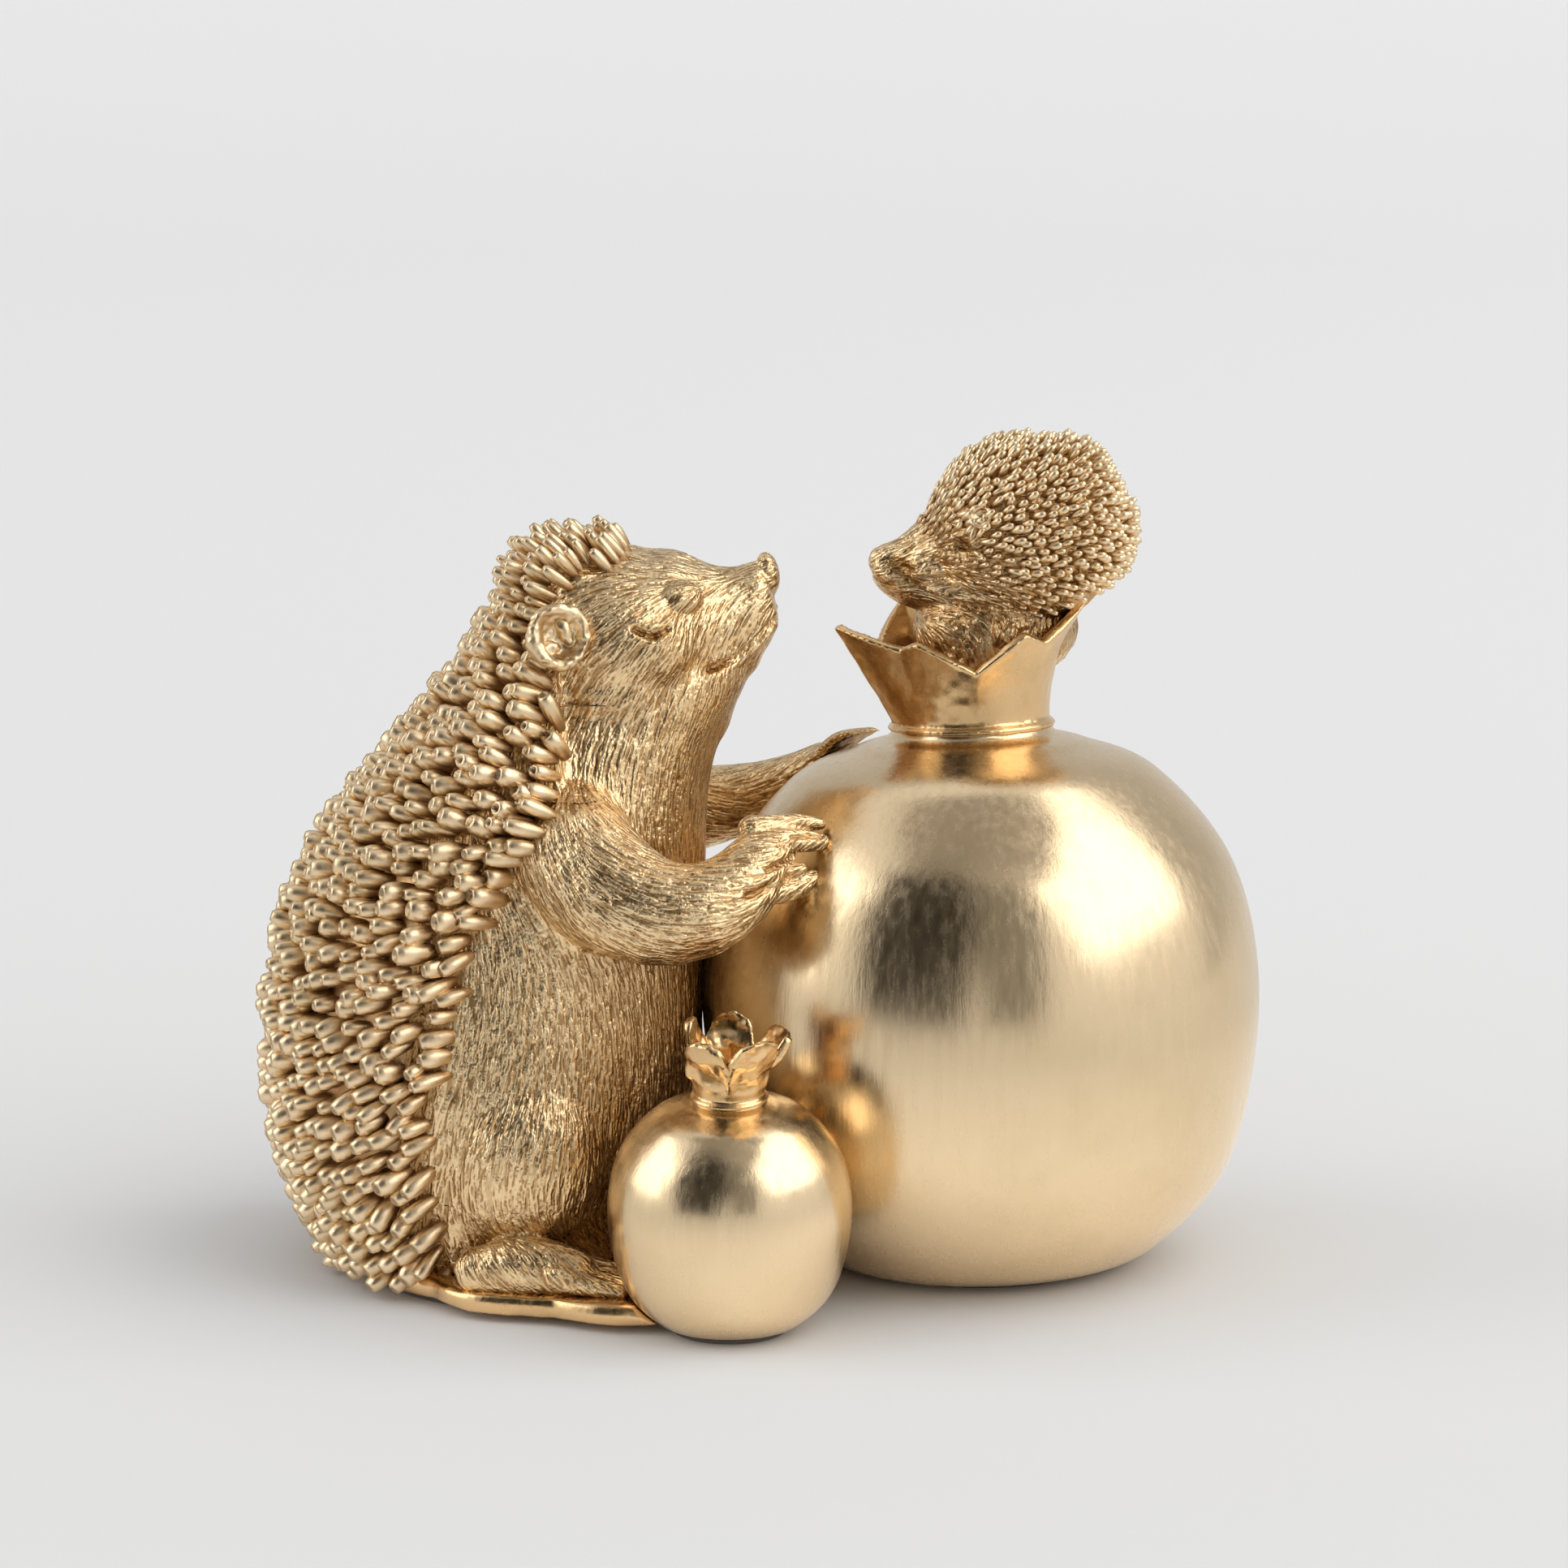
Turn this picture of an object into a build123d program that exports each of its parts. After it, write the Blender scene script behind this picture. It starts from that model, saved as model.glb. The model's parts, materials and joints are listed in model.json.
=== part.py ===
from build123d import *
import math
import os

# Hedgehog figurine: a mother hedgehog sits up and hugs a large pomegranate,
# her young looks out of its crown, and a small pomegranate stands in front.
# Cast resin pieces, glued up and gilded. Millimetres, +Z up, and the origin is on
# the table under the middle of the large fruit. The mother faces +X.

# Felt under the castings
felt_thickness = 1.0
felt_margin = 2.5

# Large pomegranate, a hollow casting
fruit_radius = 38.0
fruit_centre_height = 34.7
fruit_wall = 4.0
fruit_lean_back = 5.0
fruit_lean_left = 2.0
pour_hole_radius = 8.0
plug_clearance = 0.2

# Crown of the large pomegranate
crown_neck_radius = 10.8
crown_cup_height = 6.0
crown_rim_radius = 13.0
crown_wall = 1.9
crown_ring_depth = 0.6
crown_ring_height = 1.0
spigot_radius = 7.5
spigot_length = 4.0
spigot_clearance = 0.15
petal_tip_thickness = 0.9

# Small pomegranate, a solid casting
small_radius = 16.2
small_centre_height = 15.6
small_right = -34.0
small_back = -37.0
small_lean_front = 6.0
small_neck_radius = 4.8
small_cup_height = 2.6
small_rim_radius = 5.6
small_crown_wall = 1.2
small_petal_tip_thickness = 0.7
small_petal_length = 8.0
small_petal_spread = 3.0
small_petal_bend = 0.12

# Ground that the mother sits on
ground_middle = -54.0
ground_half_length = 34.0
ground_half_width = 33.5
ground_thickness = 3.2
ground_edge_round = 1.4
ground_lobe_forward = -47.0
ground_lobe_right = -25.0
ground_lobe_radius = 15.5

# Mother: torso and head
body_middle = -63.0
body_height = 96.0
body_half_depth = 26.0
body_half_width = 31.0
head_back = -60.0
head_length = 32.0
head_rise = 88.0
head_half_height = 14.0
head_half_width = 17.0
nose_round = 1.6

# Mother: coat of quills
quill_length = 6.2
quill_radius = 1.85
quill_sink = 1.0
quill_pitch = 5.7

# Mother: ears, arms and legs
ear_radius = 4.4
ear_thickness = 3.4
ear_dish_radius = 3.1
ear_dish_depth = 1.3
ear_forward = -56.5
ear_out = 17.0
ear_height = 89.5
arm_radius = 8.0
shoulder_forward = -57.0
shoulder_out = 20.5
shoulder_height = 58.0
finger_radius = 1.3
finger_length = 7.0
thigh_radius = 14.5
thigh_half_width = 11.5
thigh_forward = -65.0
thigh_out = 23.5
thigh_height = 18.0
heel_forward = -70.0
foot_out = 29.0
foot_length = 23.0
foot_radius = 5.0

# Young hedgehog in the crown
young_back = 19.3
young_away = 6.5
young_rise = 99.5
young_head_length = 32.5
young_half_height = 12.3
young_half_width = 12.0
young_nose_round = 0.8
young_body_radius = 8.6
young_coat_radius = 14.3
young_coat_tilt = 43.0
young_coat_front = 8.0
young_quill_length = 3.0
young_quill_radius = 0.95
young_quill_sink = 0.45
young_quill_pitch = 3.2
young_ear_radius = 2.5
young_ear_thickness = 2.0
young_ear_dish_radius = 1.7
young_ear_dish_depth = 0.7
young_ear_forward = 7.6
young_ear_out = 11.8
young_ear_rise = 4.4
young_paw_radius = 2.2
young_paw_length = 7.0

# Half outline of a pomegranate from its foot to its neck, as radius and height
fruit_outline_shares = (
    (0.0, -0.97),
    (0.60, -0.87),
    (0.88, -0.56),
    (1.0, 0.0),
    (0.924, 0.495),
    (0.664, 0.838),
    (0.42, 0.955),
)
neck_height_share = 1.02

# Petals of the large crown: direction in degrees, then length, spread and bend
# as shares of the rim
petal_shares = (
    (196.0, 0.69, 0.46, 0.20),
    (244.0, 0.48, 0.06, 0.05),
    (307.0, 0.56, 0.05, 0.05),
    (4.0, 0.92, 0.26, 0.05),
    (64.0, 0.80, 0.24, 0.05),
    (130.0, 0.84, 0.06, 0.05),
)
# Slices of a petal from its root to its tip: height, reach, width, thickness and
# how far each gives to the bend
petal_slice_shares = (
    (0.0, 0.0, 1.0, 1.0, 0.0),
    (0.5, 0.5, 0.66, 0.85, 1.0),
    (0.85, 0.85, 0.26, 0.55, 0.5),
    (1.0, 1.0, 0.05, 0.30, 0.0),
)
small_petal_count = 5
small_petal_turn = 20.0
fruit_felt_share = 0.46

# Slices of the torso over the ground: height, middle, half depth and half width
torso_shares = (
    (0.00, -0.01, 0.74, 0.87),
    (0.09, -0.04, 0.89, 0.96),
    (0.19, -0.03, 0.98, 1.00),
    (0.33, -0.04, 1.01, 0.95),
    (0.48, 0.02, 0.96, 0.86),
    (0.60, 0.13, 0.86, 0.75),
    (0.73, 0.36, 0.73, 0.57),
    (0.82, 0.58, 0.64, 0.42),
)
# Slices of the coat's skin over the ground, by the same body sizes
coat_shares = (
    (0.000, 0.06, 0.96, 0.98),
    (0.07, 0.08, 1.12, 1.07),
    (0.18, 0.10, 1.27, 1.11),
    (0.33, 0.10, 1.31, 1.07),
    (0.48, 0.11, 1.21, 0.98),
    (0.60, 0.17, 1.03, 0.90),
    (0.72, 0.29, 0.75, 0.79),
    (0.85, 0.41, 0.52, 0.67),
    (0.945, 0.47, 0.41, 0.56),
    (0.985, 0.42, 0.27, 0.35),
    (1.003, 0.40, 0.10, 0.14),
)
# Quills: the rows' spacing beside the pitch, and how far they lift off the skin
row_share = 0.86
lift_share = 0.8
# The mother's quills lie level at this height and turn up or down away from it
flow_level_share = 0.55
flow_turn_share = 1.6
young_flow_share = 0.35
quill_side_count = 5
quill_shares = (
    (0.0, 0.74),
    (0.5, 1.0),
    (1.0, 0.36),
)
# Front edge of the coat seen from the side, by the same body sizes
hairline_shares = (
    (0.62, 1.06),
    (0.42, 0.95),
    (0.06, 0.89),
    (0.08, 0.78),
    (0.22, 0.65),
    (0.02, 0.48),
    (-0.24, 0.31),
    (-0.38, 0.17),
    (-0.30, 0.02),
    (-0.30, -0.10),
)
# Slices of the head from its back to the nose: length, rise, half height, half
# width, then the upward pitch in degrees
head_shares = (
    (0.00, 0.00, 0.44, 0.52, 0.0),
    (0.10, -0.05, 0.75, 0.82, 0.0),
    (0.26, -0.11, 0.88, 0.98, 0.0),
    (0.44, -0.08, 0.87, 0.96, 0.0),
    (0.60, -0.02, 0.74, 0.76, 2.0),
    (0.76, -0.01, 0.58, 0.49, 4.0),
    (0.90, 0.12, 0.47, 0.33, 8.0),
    (0.985, 0.36, 0.29, 0.19, 14.0),
)

# Arm paths from shoulder to palm: along, out, up and radius, in arm radii
near_arm_shares = (
    (0.0, 0.0, 0.0, 1.15),
    (1.3, 0.95, -0.55, 0.98),
    (2.55, 1.05, -0.40, 0.76),
    (3.45, 0.65, 0.05, 0.56),
    (4.05, 0.25, 0.40, 0.50),
)
far_arm_shares = (
    (0.0, 0.0, 0.0, 1.15),
    (1.4, 0.65, -0.20, 0.95),
    (2.7, 0.50, 0.00, 0.68),
    (3.8, 0.10, 0.38, 0.54),
    (4.6, -0.40, 0.88, 0.46),
)
# Fingers: places across the palm, then reach, radius and depth from root to tip
finger_fan_shares = (-1.6, -0.55, 0.55, 1.6)
finger_shares = (
    (-0.35, 0.9, 0.7),
    (0.35, 1.0, 0.55),
    (0.80, 0.8, 0.35),
    (1.0, 0.45, 0.2),
)

# Round thigh from the belly outwards: reach in half widths, width in radii
thigh_shares = (
    (-0.35, 0.92),
    (0.0, 1.0),
    (0.4, 0.92),
    (0.7, 0.72),
    (0.9, 0.44),
    (0.99, 0.12),
)
# Foot path from heel to toes: along in foot lengths, out, up and radius in foot radii
foot_shares = (
    (0.0, 0.0, 0.85, 0.85),
    (0.35, 0.3, 0.80, 1.0),
    (0.72, 0.4, 0.55, 0.80),
    (0.94, 0.35, 0.35, 0.55),
)
toe_fan_shares = (-0.9, -0.3, 0.3, 0.9)
toe_radius_share = 0.36
# Toes: reach in foot lengths and width in toe radii
toe_shares = (
    (0.66, 1.0),
    (0.92, 1.05),
    (1.06, 0.8),
)

# Slices of the young one's head, in its own sizes as the mother's are given
young_crown_share = 0.40
young_head_shares = (
    (0.00, 0.02, 0.28, 0.30, 0.0),
    (0.10, 0.02, 0.66, 0.70, 0.0),
    (0.30, 0.00, 0.97, 1.00, 0.0),
    (0.50, -0.06, 0.92, 0.90, 2.0),
    (0.66, -0.16, 0.82, 0.72, 4.0),
    (0.84, -0.34, 0.54, 0.50, 4.0),
    (0.99, -0.36, 0.29, 0.30, 6.0),
    (1.045, -0.32, 0.16, 0.18, 6.0),
)
# Paths of the young one's body and paw, with radii, in their own sizes
young_body_shares = (
    (-0.06, 0.60),
    (0.20, 0.92),
    (0.50, 1.00),
    (0.85, 0.90),
)
young_paw_shares = (
    (0.0, 0.0, 1.1),
    (-0.45, -0.30, 1.0),
    (-0.85, -0.85, 0.72),
)

os.makedirs("parts", exist_ok=True)


def save(piece, label):
    """Name a finished piece and write it."""
    piece.part.label = label
    export_step(piece.part, f"parts/{label}.step")


def upright(plane):
    """The plane that holds a half outline, its second axis along the plane's normal."""
    return Plane(origin=plane.origin, x_dir=plane.x_dir, z_dir=plane.y_dir * -1)


def axis_of(plane):
    """The axis of revolution that stands on a plane."""
    return Axis(plane.origin, plane.z_dir)


def fruit_outline(radius, neck_radius):
    """Half outline of a pomegranate, closed along its axis."""
    points = [(r * radius, h * radius) for r, h in fruit_outline_shares]
    neck_top = (neck_radius, neck_height_share * radius)
    flank = Spline(*points, neck_top, tangents=[(1, 0), (-0.25, 1)])
    lid = Line(neck_top, (0, neck_top[1]))
    Line(lid @ 1, flank @ 0)


def petal(root, turn, radius, wall, tip, length, spread, bend, half_angle):
    """A pointed sepal: curved strips that narrow from a rim to a tip."""
    strips = []
    for rise, reach, width, thick, give in petal_slice_shares:
        level = root.rotated((0, 0, turn)).offset(rise * length)
        outer_radius = radius + (reach - bend * give) * spread
        inner_radius = outer_radius - tip - (wall - tip) * thick
        angle = half_angle * width
        with BuildSketch(level) as strip:
            with BuildLine():
                outer = CenterArc((0, 0), outer_radius, -angle, 2 * angle)
                inner = CenterArc((0, 0), inner_radius, -angle, 2 * angle)
                Line(outer @ 0, inner @ 0)
                Line(outer @ 1, inner @ 1)
            make_face()
        strips.append(strip.sketch)
    loft(sections=strips)


def limb(rows):
    """A soft tapering limb: circles square to a path of places with radii."""
    places = [place for place, radius in rows]
    circles = []
    for index, (place, radius) in enumerate(rows):
        ahead = places[min(index + 1, len(places) - 1)]
        behind = places[max(index - 1, 0)]
        with BuildSketch(Plane(place, z_dir=ahead - behind)) as section:
            Circle(radius)
        circles.append(section.sketch)
    loft(sections=circles)


def head_slices(back, facing, length, half_height, half_width, shares):
    """Upright ovals from the back of a head to its nose."""
    ovals = []
    for along, rise, height, width, pitch in shares:
        place = back + Vector(facing * along * length, 0, rise * half_height)
        slope = math.radians(pitch)
        ahead = Vector(facing * math.cos(slope), 0, math.sin(slope))
        with BuildSketch(Plane(place, x_dir=(0, 1, 0), z_dir=ahead)) as oval:
            Ellipse(width * half_width, height * half_height)
        ovals.append(oval.sketch)
    return ovals


def body_slices(shares):
    """Level ovals of the mother's body over the ground."""
    ovals = []
    for rise, middle, depth, width in shares:
        with BuildSketch(Plane.XY.offset(ground_top + rise * body_height)) as oval:
            with Locations((body_middle + middle * body_half_depth, 0)):
                Ellipse(depth * body_half_depth, width * body_half_width)
        ovals.append(oval.sketch)
    return ovals


def quill_planes(skins, pitch, sink, flow, keep):
    """Planes where quills stand on bands of skin, each leaning along a flow."""
    planes = []
    row_number = 0
    for skin in skins:
        slant = (skin.position_at(0, 1) - skin.position_at(0, 0)).length
        rows = max(1, round(slant / (row_share * pitch)))
        for row in range(rows):
            row_number += 1
            v = (row + 0.5) / rows
            span = (skin.position_at(0, v) - skin.position_at(0.5, v)).length
            columns = max(4, round(math.pi * span / pitch))
            for column in range(columns):
                place = skin.position_at((column + 0.5 * (row_number % 2)) / columns, v)
                if not keep(place):
                    continue
                out = skin.normal_at(place)
                along = flow(place)
                along = (along - out * along.dot(out)).normalized()
                aim = (out * lift_share + along).normalized()
                planes.append(Plane(place - aim * sink, z_dir=aim))
    return planes


def quill(radius, length):
    """A plump quill on the ground plane: thin root, full middle, blunt tip."""
    with BuildPart() as grain:
        for (low, foot), (high, head) in zip(quill_shares, quill_shares[1:]):
            rise = (high - low) * length
            inset = (foot - head) * radius * math.cos(math.pi / quill_side_count)
            with BuildSketch(Plane.XY.offset(low * length)):
                RegularPolygon(foot * radius, quill_side_count)
            extrude(amount=rise, taper=math.degrees(math.atan2(inset, rise)))
    return grain.part


# Large pomegranate
foot_plane = Plane.XY.offset(felt_thickness)
fruit_plane = Plane.XY.offset(fruit_centre_height).rotated(
    (-fruit_lean_back, -fruit_lean_left, 0)
)
crown_plane = fruit_plane.offset(neck_height_share * fruit_radius)

with BuildPart() as fruit_form:
    with BuildSketch(upright(fruit_plane)):
        with BuildLine():
            fruit_outline(fruit_radius, crown_neck_radius)
        make_face()
    revolve(axis=axis_of(fruit_plane))
    split(bisect_by=foot_plane, keep=Keep.TOP)

with BuildPart() as fruit_hollow:
    with BuildSketch(upright(fruit_plane)):
        with BuildLine():
            fruit_outline(fruit_radius - fruit_wall, spigot_radius)
        make_face()
    revolve(axis=axis_of(fruit_plane))
    split(bisect_by=foot_plane.offset(fruit_wall), keep=Keep.TOP)

with BuildPart() as large_fruit:
    add(fruit_form.part)
    add(fruit_hollow.part, mode=Mode.SUBTRACT)
    with BuildSketch(crown_plane):
        Circle(spigot_radius + spigot_clearance)
    extrude(amount=-2 * fruit_wall, mode=Mode.SUBTRACT)
    with BuildSketch(foot_plane):
        Circle(pour_hole_radius)
    extrude(amount=fruit_wall, mode=Mode.SUBTRACT)
save(large_fruit, "large_fruit")

with BuildPart() as pour_plug:
    with BuildSketch(foot_plane):
        Circle(pour_hole_radius - plug_clearance)
    extrude(amount=fruit_wall)
save(pour_plug, "pour_hole_plug")

# Crown of the large pomegranate
petal_half_angle = 180.0 / len(petal_shares)
with BuildPart() as fruit_crown:
    with BuildSketch(upright(crown_plane)):
        with BuildLine():
            ring = Polyline(
                (0, -spigot_length),
                (spigot_radius, -spigot_length),
                (spigot_radius, 0),
                (crown_neck_radius + crown_ring_depth, 0),
                (crown_neck_radius + crown_ring_depth, crown_ring_height),
                (crown_neck_radius, crown_ring_height),
            )
            cup = Spline(
                ring @ 1,
                (crown_rim_radius, crown_cup_height),
                tangents=[(0, 1), (0.5, 1)],
            )
            rim = Line(cup @ 1, (crown_rim_radius - crown_wall, crown_cup_height))
            bowl = Spline(
                rim @ 1,
                (0, crown_ring_height + crown_wall),
                tangents=[(-0.5, -1), (-1, 0)],
            )
            Line(bowl @ 1, ring @ 0)
        make_face()
    revolve(axis=axis_of(crown_plane))
    for turn, length, spread, bend in petal_shares:
        petal(
            crown_plane.offset(crown_cup_height - crown_ring_height),
            turn,
            crown_rim_radius,
            crown_wall,
            petal_tip_thickness,
            length * crown_rim_radius,
            spread * crown_rim_radius,
            bend,
            petal_half_angle,
        )
save(fruit_crown, "fruit_crown")

# Small pomegranate
small_plane = Plane((small_right, small_back, small_centre_height)).rotated(
    (small_lean_front, 0, 0)
)
small_crown_plane = small_plane.offset(neck_height_share * small_radius)

with BuildPart() as small_fruit:
    with BuildSketch(upright(small_plane)):
        with BuildLine():
            fruit_outline(small_radius, small_neck_radius)
        make_face()
    revolve(axis=axis_of(small_plane))
    split(bisect_by=foot_plane, keep=Keep.TOP)
    add(fruit_form.part, mode=Mode.SUBTRACT)
save(small_fruit, "small_fruit")

with BuildPart() as small_crown:
    with BuildSketch(small_crown_plane):
        Circle(small_neck_radius)
    with BuildSketch(small_crown_plane.offset(small_cup_height)):
        Circle(small_rim_radius)
    loft()
    for number in range(small_petal_count):
        petal(
            small_crown_plane.offset(small_cup_height - small_crown_wall),
            360.0 * number / small_petal_count + small_petal_turn,
            small_rim_radius,
            small_crown_wall,
            small_petal_tip_thickness,
            small_petal_length,
            small_petal_spread,
            small_petal_bend,
            180.0 / small_petal_count,
        )
save(small_crown, "small_crown")

# Ground
ground_top = felt_thickness + ground_thickness
with BuildPart() as ground:
    with BuildSketch(foot_plane):
        with Locations((ground_middle, 0)):
            Ellipse(ground_half_length, ground_half_width)
        with Locations((ground_lobe_forward, ground_lobe_right)):
            Circle(ground_lobe_radius)
    extrude(amount=ground_thickness)
    fillet(ground.edges().group_by(Axis.Z)[-1], ground_edge_round)
    add(fruit_form.part, mode=Mode.SUBTRACT)
    add(small_fruit.part, mode=Mode.SUBTRACT)
save(ground, "ground")

# Mother's head and torso
with BuildPart() as head_form:
    loft(
        sections=head_slices(
            Vector(head_back, 0, head_rise),
            1,
            head_length,
            head_half_height,
            head_half_width,
            head_shares,
        )
    )
    fillet(head_form.edges().sort_by(Axis.X)[-1], nose_round)

with BuildPart() as torso:
    loft(sections=body_slices(torso_shares))
    add(fruit_form.part, mode=Mode.SUBTRACT)
    add(head_form.part, mode=Mode.SUBTRACT)
save(torso, "mother_torso")

# Mother's coat of quills
with BuildPart() as coat_form:
    loft(sections=body_slices(coat_shares), ruled=True)
coat_skins = coat_form.faces().filter_by(GeomType.PLANE, reverse=True).sort_by(Axis.Z)

hairline = [
    (body_middle + x * body_half_depth, ground_top + z * body_height)
    for x, z in hairline_shares
]


def hairline_at(height):
    """How far forward the coat reaches at a height."""
    for (x_high, z_high), (x_low, z_low) in zip(hairline, hairline[1:]):
        if z_low <= height <= z_high:
            share = (height - z_low) / (z_high - z_low)
            return x_low + share * (x_high - x_low)
    return -fruit_radius


def holds_mother_quill(place):
    """Whether a quill's root lies well behind the coat's edge and over its foot."""
    behind = place.X < hairline_at(place.Z) - 2 * quill_radius
    return behind and place.Z > ground_top + 2 * quill_radius


def mother_flow(place):
    """Quills sweep back and up on the brow, back at the waist, down at the base."""
    height = (place.Z - ground_top) / body_height
    return Vector(-1, 0, flow_turn_share * (height - flow_level_share))


def cut_to_hairline(wall):
    """Cut away all between the hairline and an upright wall before or behind it."""
    with BuildSketch(Plane.XZ.offset(-2 * body_half_width)) as curtain:
        with BuildLine():
            front = Spline(*hairline)
            Polyline(
                front @ 0,
                (wall, hairline[0][1]),
                (wall, hairline[-1][1]),
                front @ 1,
            )
        make_face()
    extrude(curtain.sketch, amount=4 * body_half_width, mode=Mode.SUBTRACT)


wall_before = fruit_radius
wall_behind = body_middle - 2 * body_half_depth
with BuildPart() as coat_shell:
    add(coat_form.part)
    cut_to_hairline(wall_before)
    add(torso.part, mode=Mode.SUBTRACT)
    add(head_form.part, mode=Mode.SUBTRACT)

mother_quill = quill(quill_radius, quill_length)
mother_quills = quill_planes(
    coat_skins, quill_pitch, quill_sink, mother_flow, holds_mother_quill
)
with BuildPart() as coat:
    add(coat_shell.part)
    with Locations(*mother_quills):
        add(mother_quill, clean=False)
save(coat, "mother_quill_coat")


def ear(plane, radius, thickness, dish_radius, dish_depth):
    """A round cup of an ear that widens from its root to a hollowed rim."""
    with BuildSketch(plane.offset(-thickness)) as root:
        Circle(dish_radius)
    with BuildSketch(plane) as rim:
        Circle(radius)
    with BuildSketch(plane.offset(dish_depth)) as lip:
        Circle((radius + dish_radius) / 2)
    loft(sections=[root.sketch, rim.sketch, lip.sketch])
    with BuildSketch(plane.offset(dish_depth)) as dish:
        Circle(dish_radius)
    extrude(dish.sketch, amount=-dish_depth, mode=Mode.SUBTRACT)


# Mother's ears
for side, name in ((-1, "mother_near_ear"), (1, "mother_far_ear")):
    with BuildPart() as mother_ear:
        ear(
            Plane(
                (ear_forward, side * ear_out, ear_height),
                x_dir=(0, 0, 1),
                z_dir=(0.55, side, 0.2),
            ),
            ear_radius,
            ear_thickness,
            ear_dish_radius,
            ear_dish_depth,
        )
        cut_to_hairline(wall_behind)
        add(head_form.part, mode=Mode.SUBTRACT)
    save(mother_ear, name)

# Mother's head, which the ears are let into
with BuildPart() as head:
    add(head_form.part)
save(head, "mother_head")

# Mother's arms, whose hands lie on the large fruit
fruit_skin = fruit_form.faces().sort_by(SortBy.AREA)[-1]
fruit_centre = Vector(0, 0, fruit_centre_height)


def on_fruit(place, height):
    """A place moved to a height over the large fruit's skin."""
    skin_place = fruit_skin.distance_to_with_closest_points(place)[1]
    outward = (skin_place - fruit_centre).normalized()
    return skin_place + outward * height


def arm(side, shares):
    """An arm from the shoulder to a hand whose fingers follow the fruit's skin."""
    shoulder = Vector(shoulder_forward, side * shoulder_out, shoulder_height)
    rows = []
    for along, out, up, width in shares:
        reach = Vector(along, side * out, up) * arm_radius
        rows.append((shoulder + reach, width * arm_radius))
    limb(rows)
    palm = rows[-1][0]
    ahead = (palm - rows[-2][0]).normalized()
    across = (palm - fruit_centre).cross(ahead).normalized()
    for fan in finger_fan_shares:
        finger_rows = []
        for reach, width, depth in finger_shares:
            place = palm + ahead * (reach * finger_length)
            place = place + across * (fan * finger_radius * (1 + reach / 2))
            place = on_fruit(place, depth * finger_radius)
            finger_rows.append((place, width * finger_radius))
        limb(finger_rows)


for side, name, shares in (
    (-1, "mother_near_arm", near_arm_shares),
    (1, "mother_far_arm", far_arm_shares),
):
    with BuildPart() as mother_arm:
        arm(side, shares)
        cut_to_hairline(wall_behind)
        add(fruit_form.part, mode=Mode.SUBTRACT)
        add(torso.part, mode=Mode.SUBTRACT)
    save(mother_arm, name)


def leg(side):
    """A folded leg: a round thigh, a long foot and its toes on the ground."""
    hip = Vector(thigh_forward, side * thigh_out, thigh_height)
    rows = []
    for out, width in thigh_shares:
        place = hip + Vector(0, side * out * thigh_half_width, 0)
        rows.append((place, width * thigh_radius))
    limb(rows)
    heel = Vector(heel_forward, side * foot_out, ground_top)
    rows = []
    for along, out, up, width in foot_shares:
        reach = Vector(along * foot_length, side * out * foot_radius, up * foot_radius)
        rows.append((heel + reach, width * foot_radius))
    limb(rows)
    ball, ball_radius = rows[-2]
    toe_radius = toe_radius_share * foot_radius
    for fan in toe_fan_shares:
        toe_rows = []
        for reach, width in toe_shares:
            place = heel + Vector(
                reach * foot_length,
                side * foot_shares[-1][1] * foot_radius + fan * ball_radius,
                toe_radius,
            )
            toe_rows.append((place, width * toe_radius))
        limb(toe_rows)


# Mother's legs, folded beside the belly
for side, name in ((-1, "mother_near_leg"), (1, "mother_far_leg")):
    with BuildPart() as mother_leg:
        leg(side)
        split(bisect_by=Plane.XY.offset(ground_top), keep=Keep.TOP)
        cut_to_hairline(wall_behind)
        add(torso.part, mode=Mode.SUBTRACT)
        add(fruit_form.part, mode=Mode.SUBTRACT)
        add(small_fruit.part, mode=Mode.SUBTRACT)
    save(mother_leg, name)

# Young hedgehog: head and body
young_nape = Vector(young_back, young_away, young_rise)
young_middle = young_nape - Vector(young_crown_share * young_head_length, 0, 0)
with BuildPart() as young_head:
    loft(
        sections=head_slices(
            young_nape,
            -1,
            young_head_length,
            young_half_height,
            young_half_width,
            young_head_shares,
        )
    )
    fillet(young_head.edges().sort_by(Axis.X)[0], young_nose_round)
save(young_head, "young_head")

bowl_floor = (crown_plane.offset(crown_ring_height + crown_wall)).origin
with BuildPart() as young_body:
    body_rows = []
    for share, width in young_body_shares:
        place = bowl_floor + (young_middle - bowl_floor) * share
        body_rows.append((place, width * young_body_radius))
    limb(body_rows)
    add(fruit_crown.part, mode=Mode.SUBTRACT)
    add(young_head.part, mode=Mode.SUBTRACT)
save(young_body, "young_body")

# Young hedgehog: quills
crest = Vector(1, 0, 0).rotate(Axis.Y, -young_coat_tilt)
young_coat_plane = Plane(young_middle - crest * young_coat_front, z_dir=crest)
with BuildPart() as young_coat_form:
    with BuildSketch(Plane(young_middle, x_dir=(1, 0, 0), z_dir=(0, -1, 0))):
        with BuildLine():
            bow = CenterArc((0, 0), young_coat_radius, -90, 180)
            Line(bow @ 1, bow @ 0)
        make_face()
    revolve(axis=Axis(young_middle, (0, 0, 1)))


def holds_young_quill(place):
    """Whether a quill's root is well inside the young one's cap, clear of the crown."""
    beyond = (place - young_coat_plane.origin).dot(crest)
    if beyond < 2 * young_quill_radius:
        return False
    return fruit_crown.part.distance_to(place) > young_quill_length


def young_flow(place):
    """The young one's quills sweep back and a little up from the face."""
    return Vector(1, 0, young_flow_share)


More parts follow.
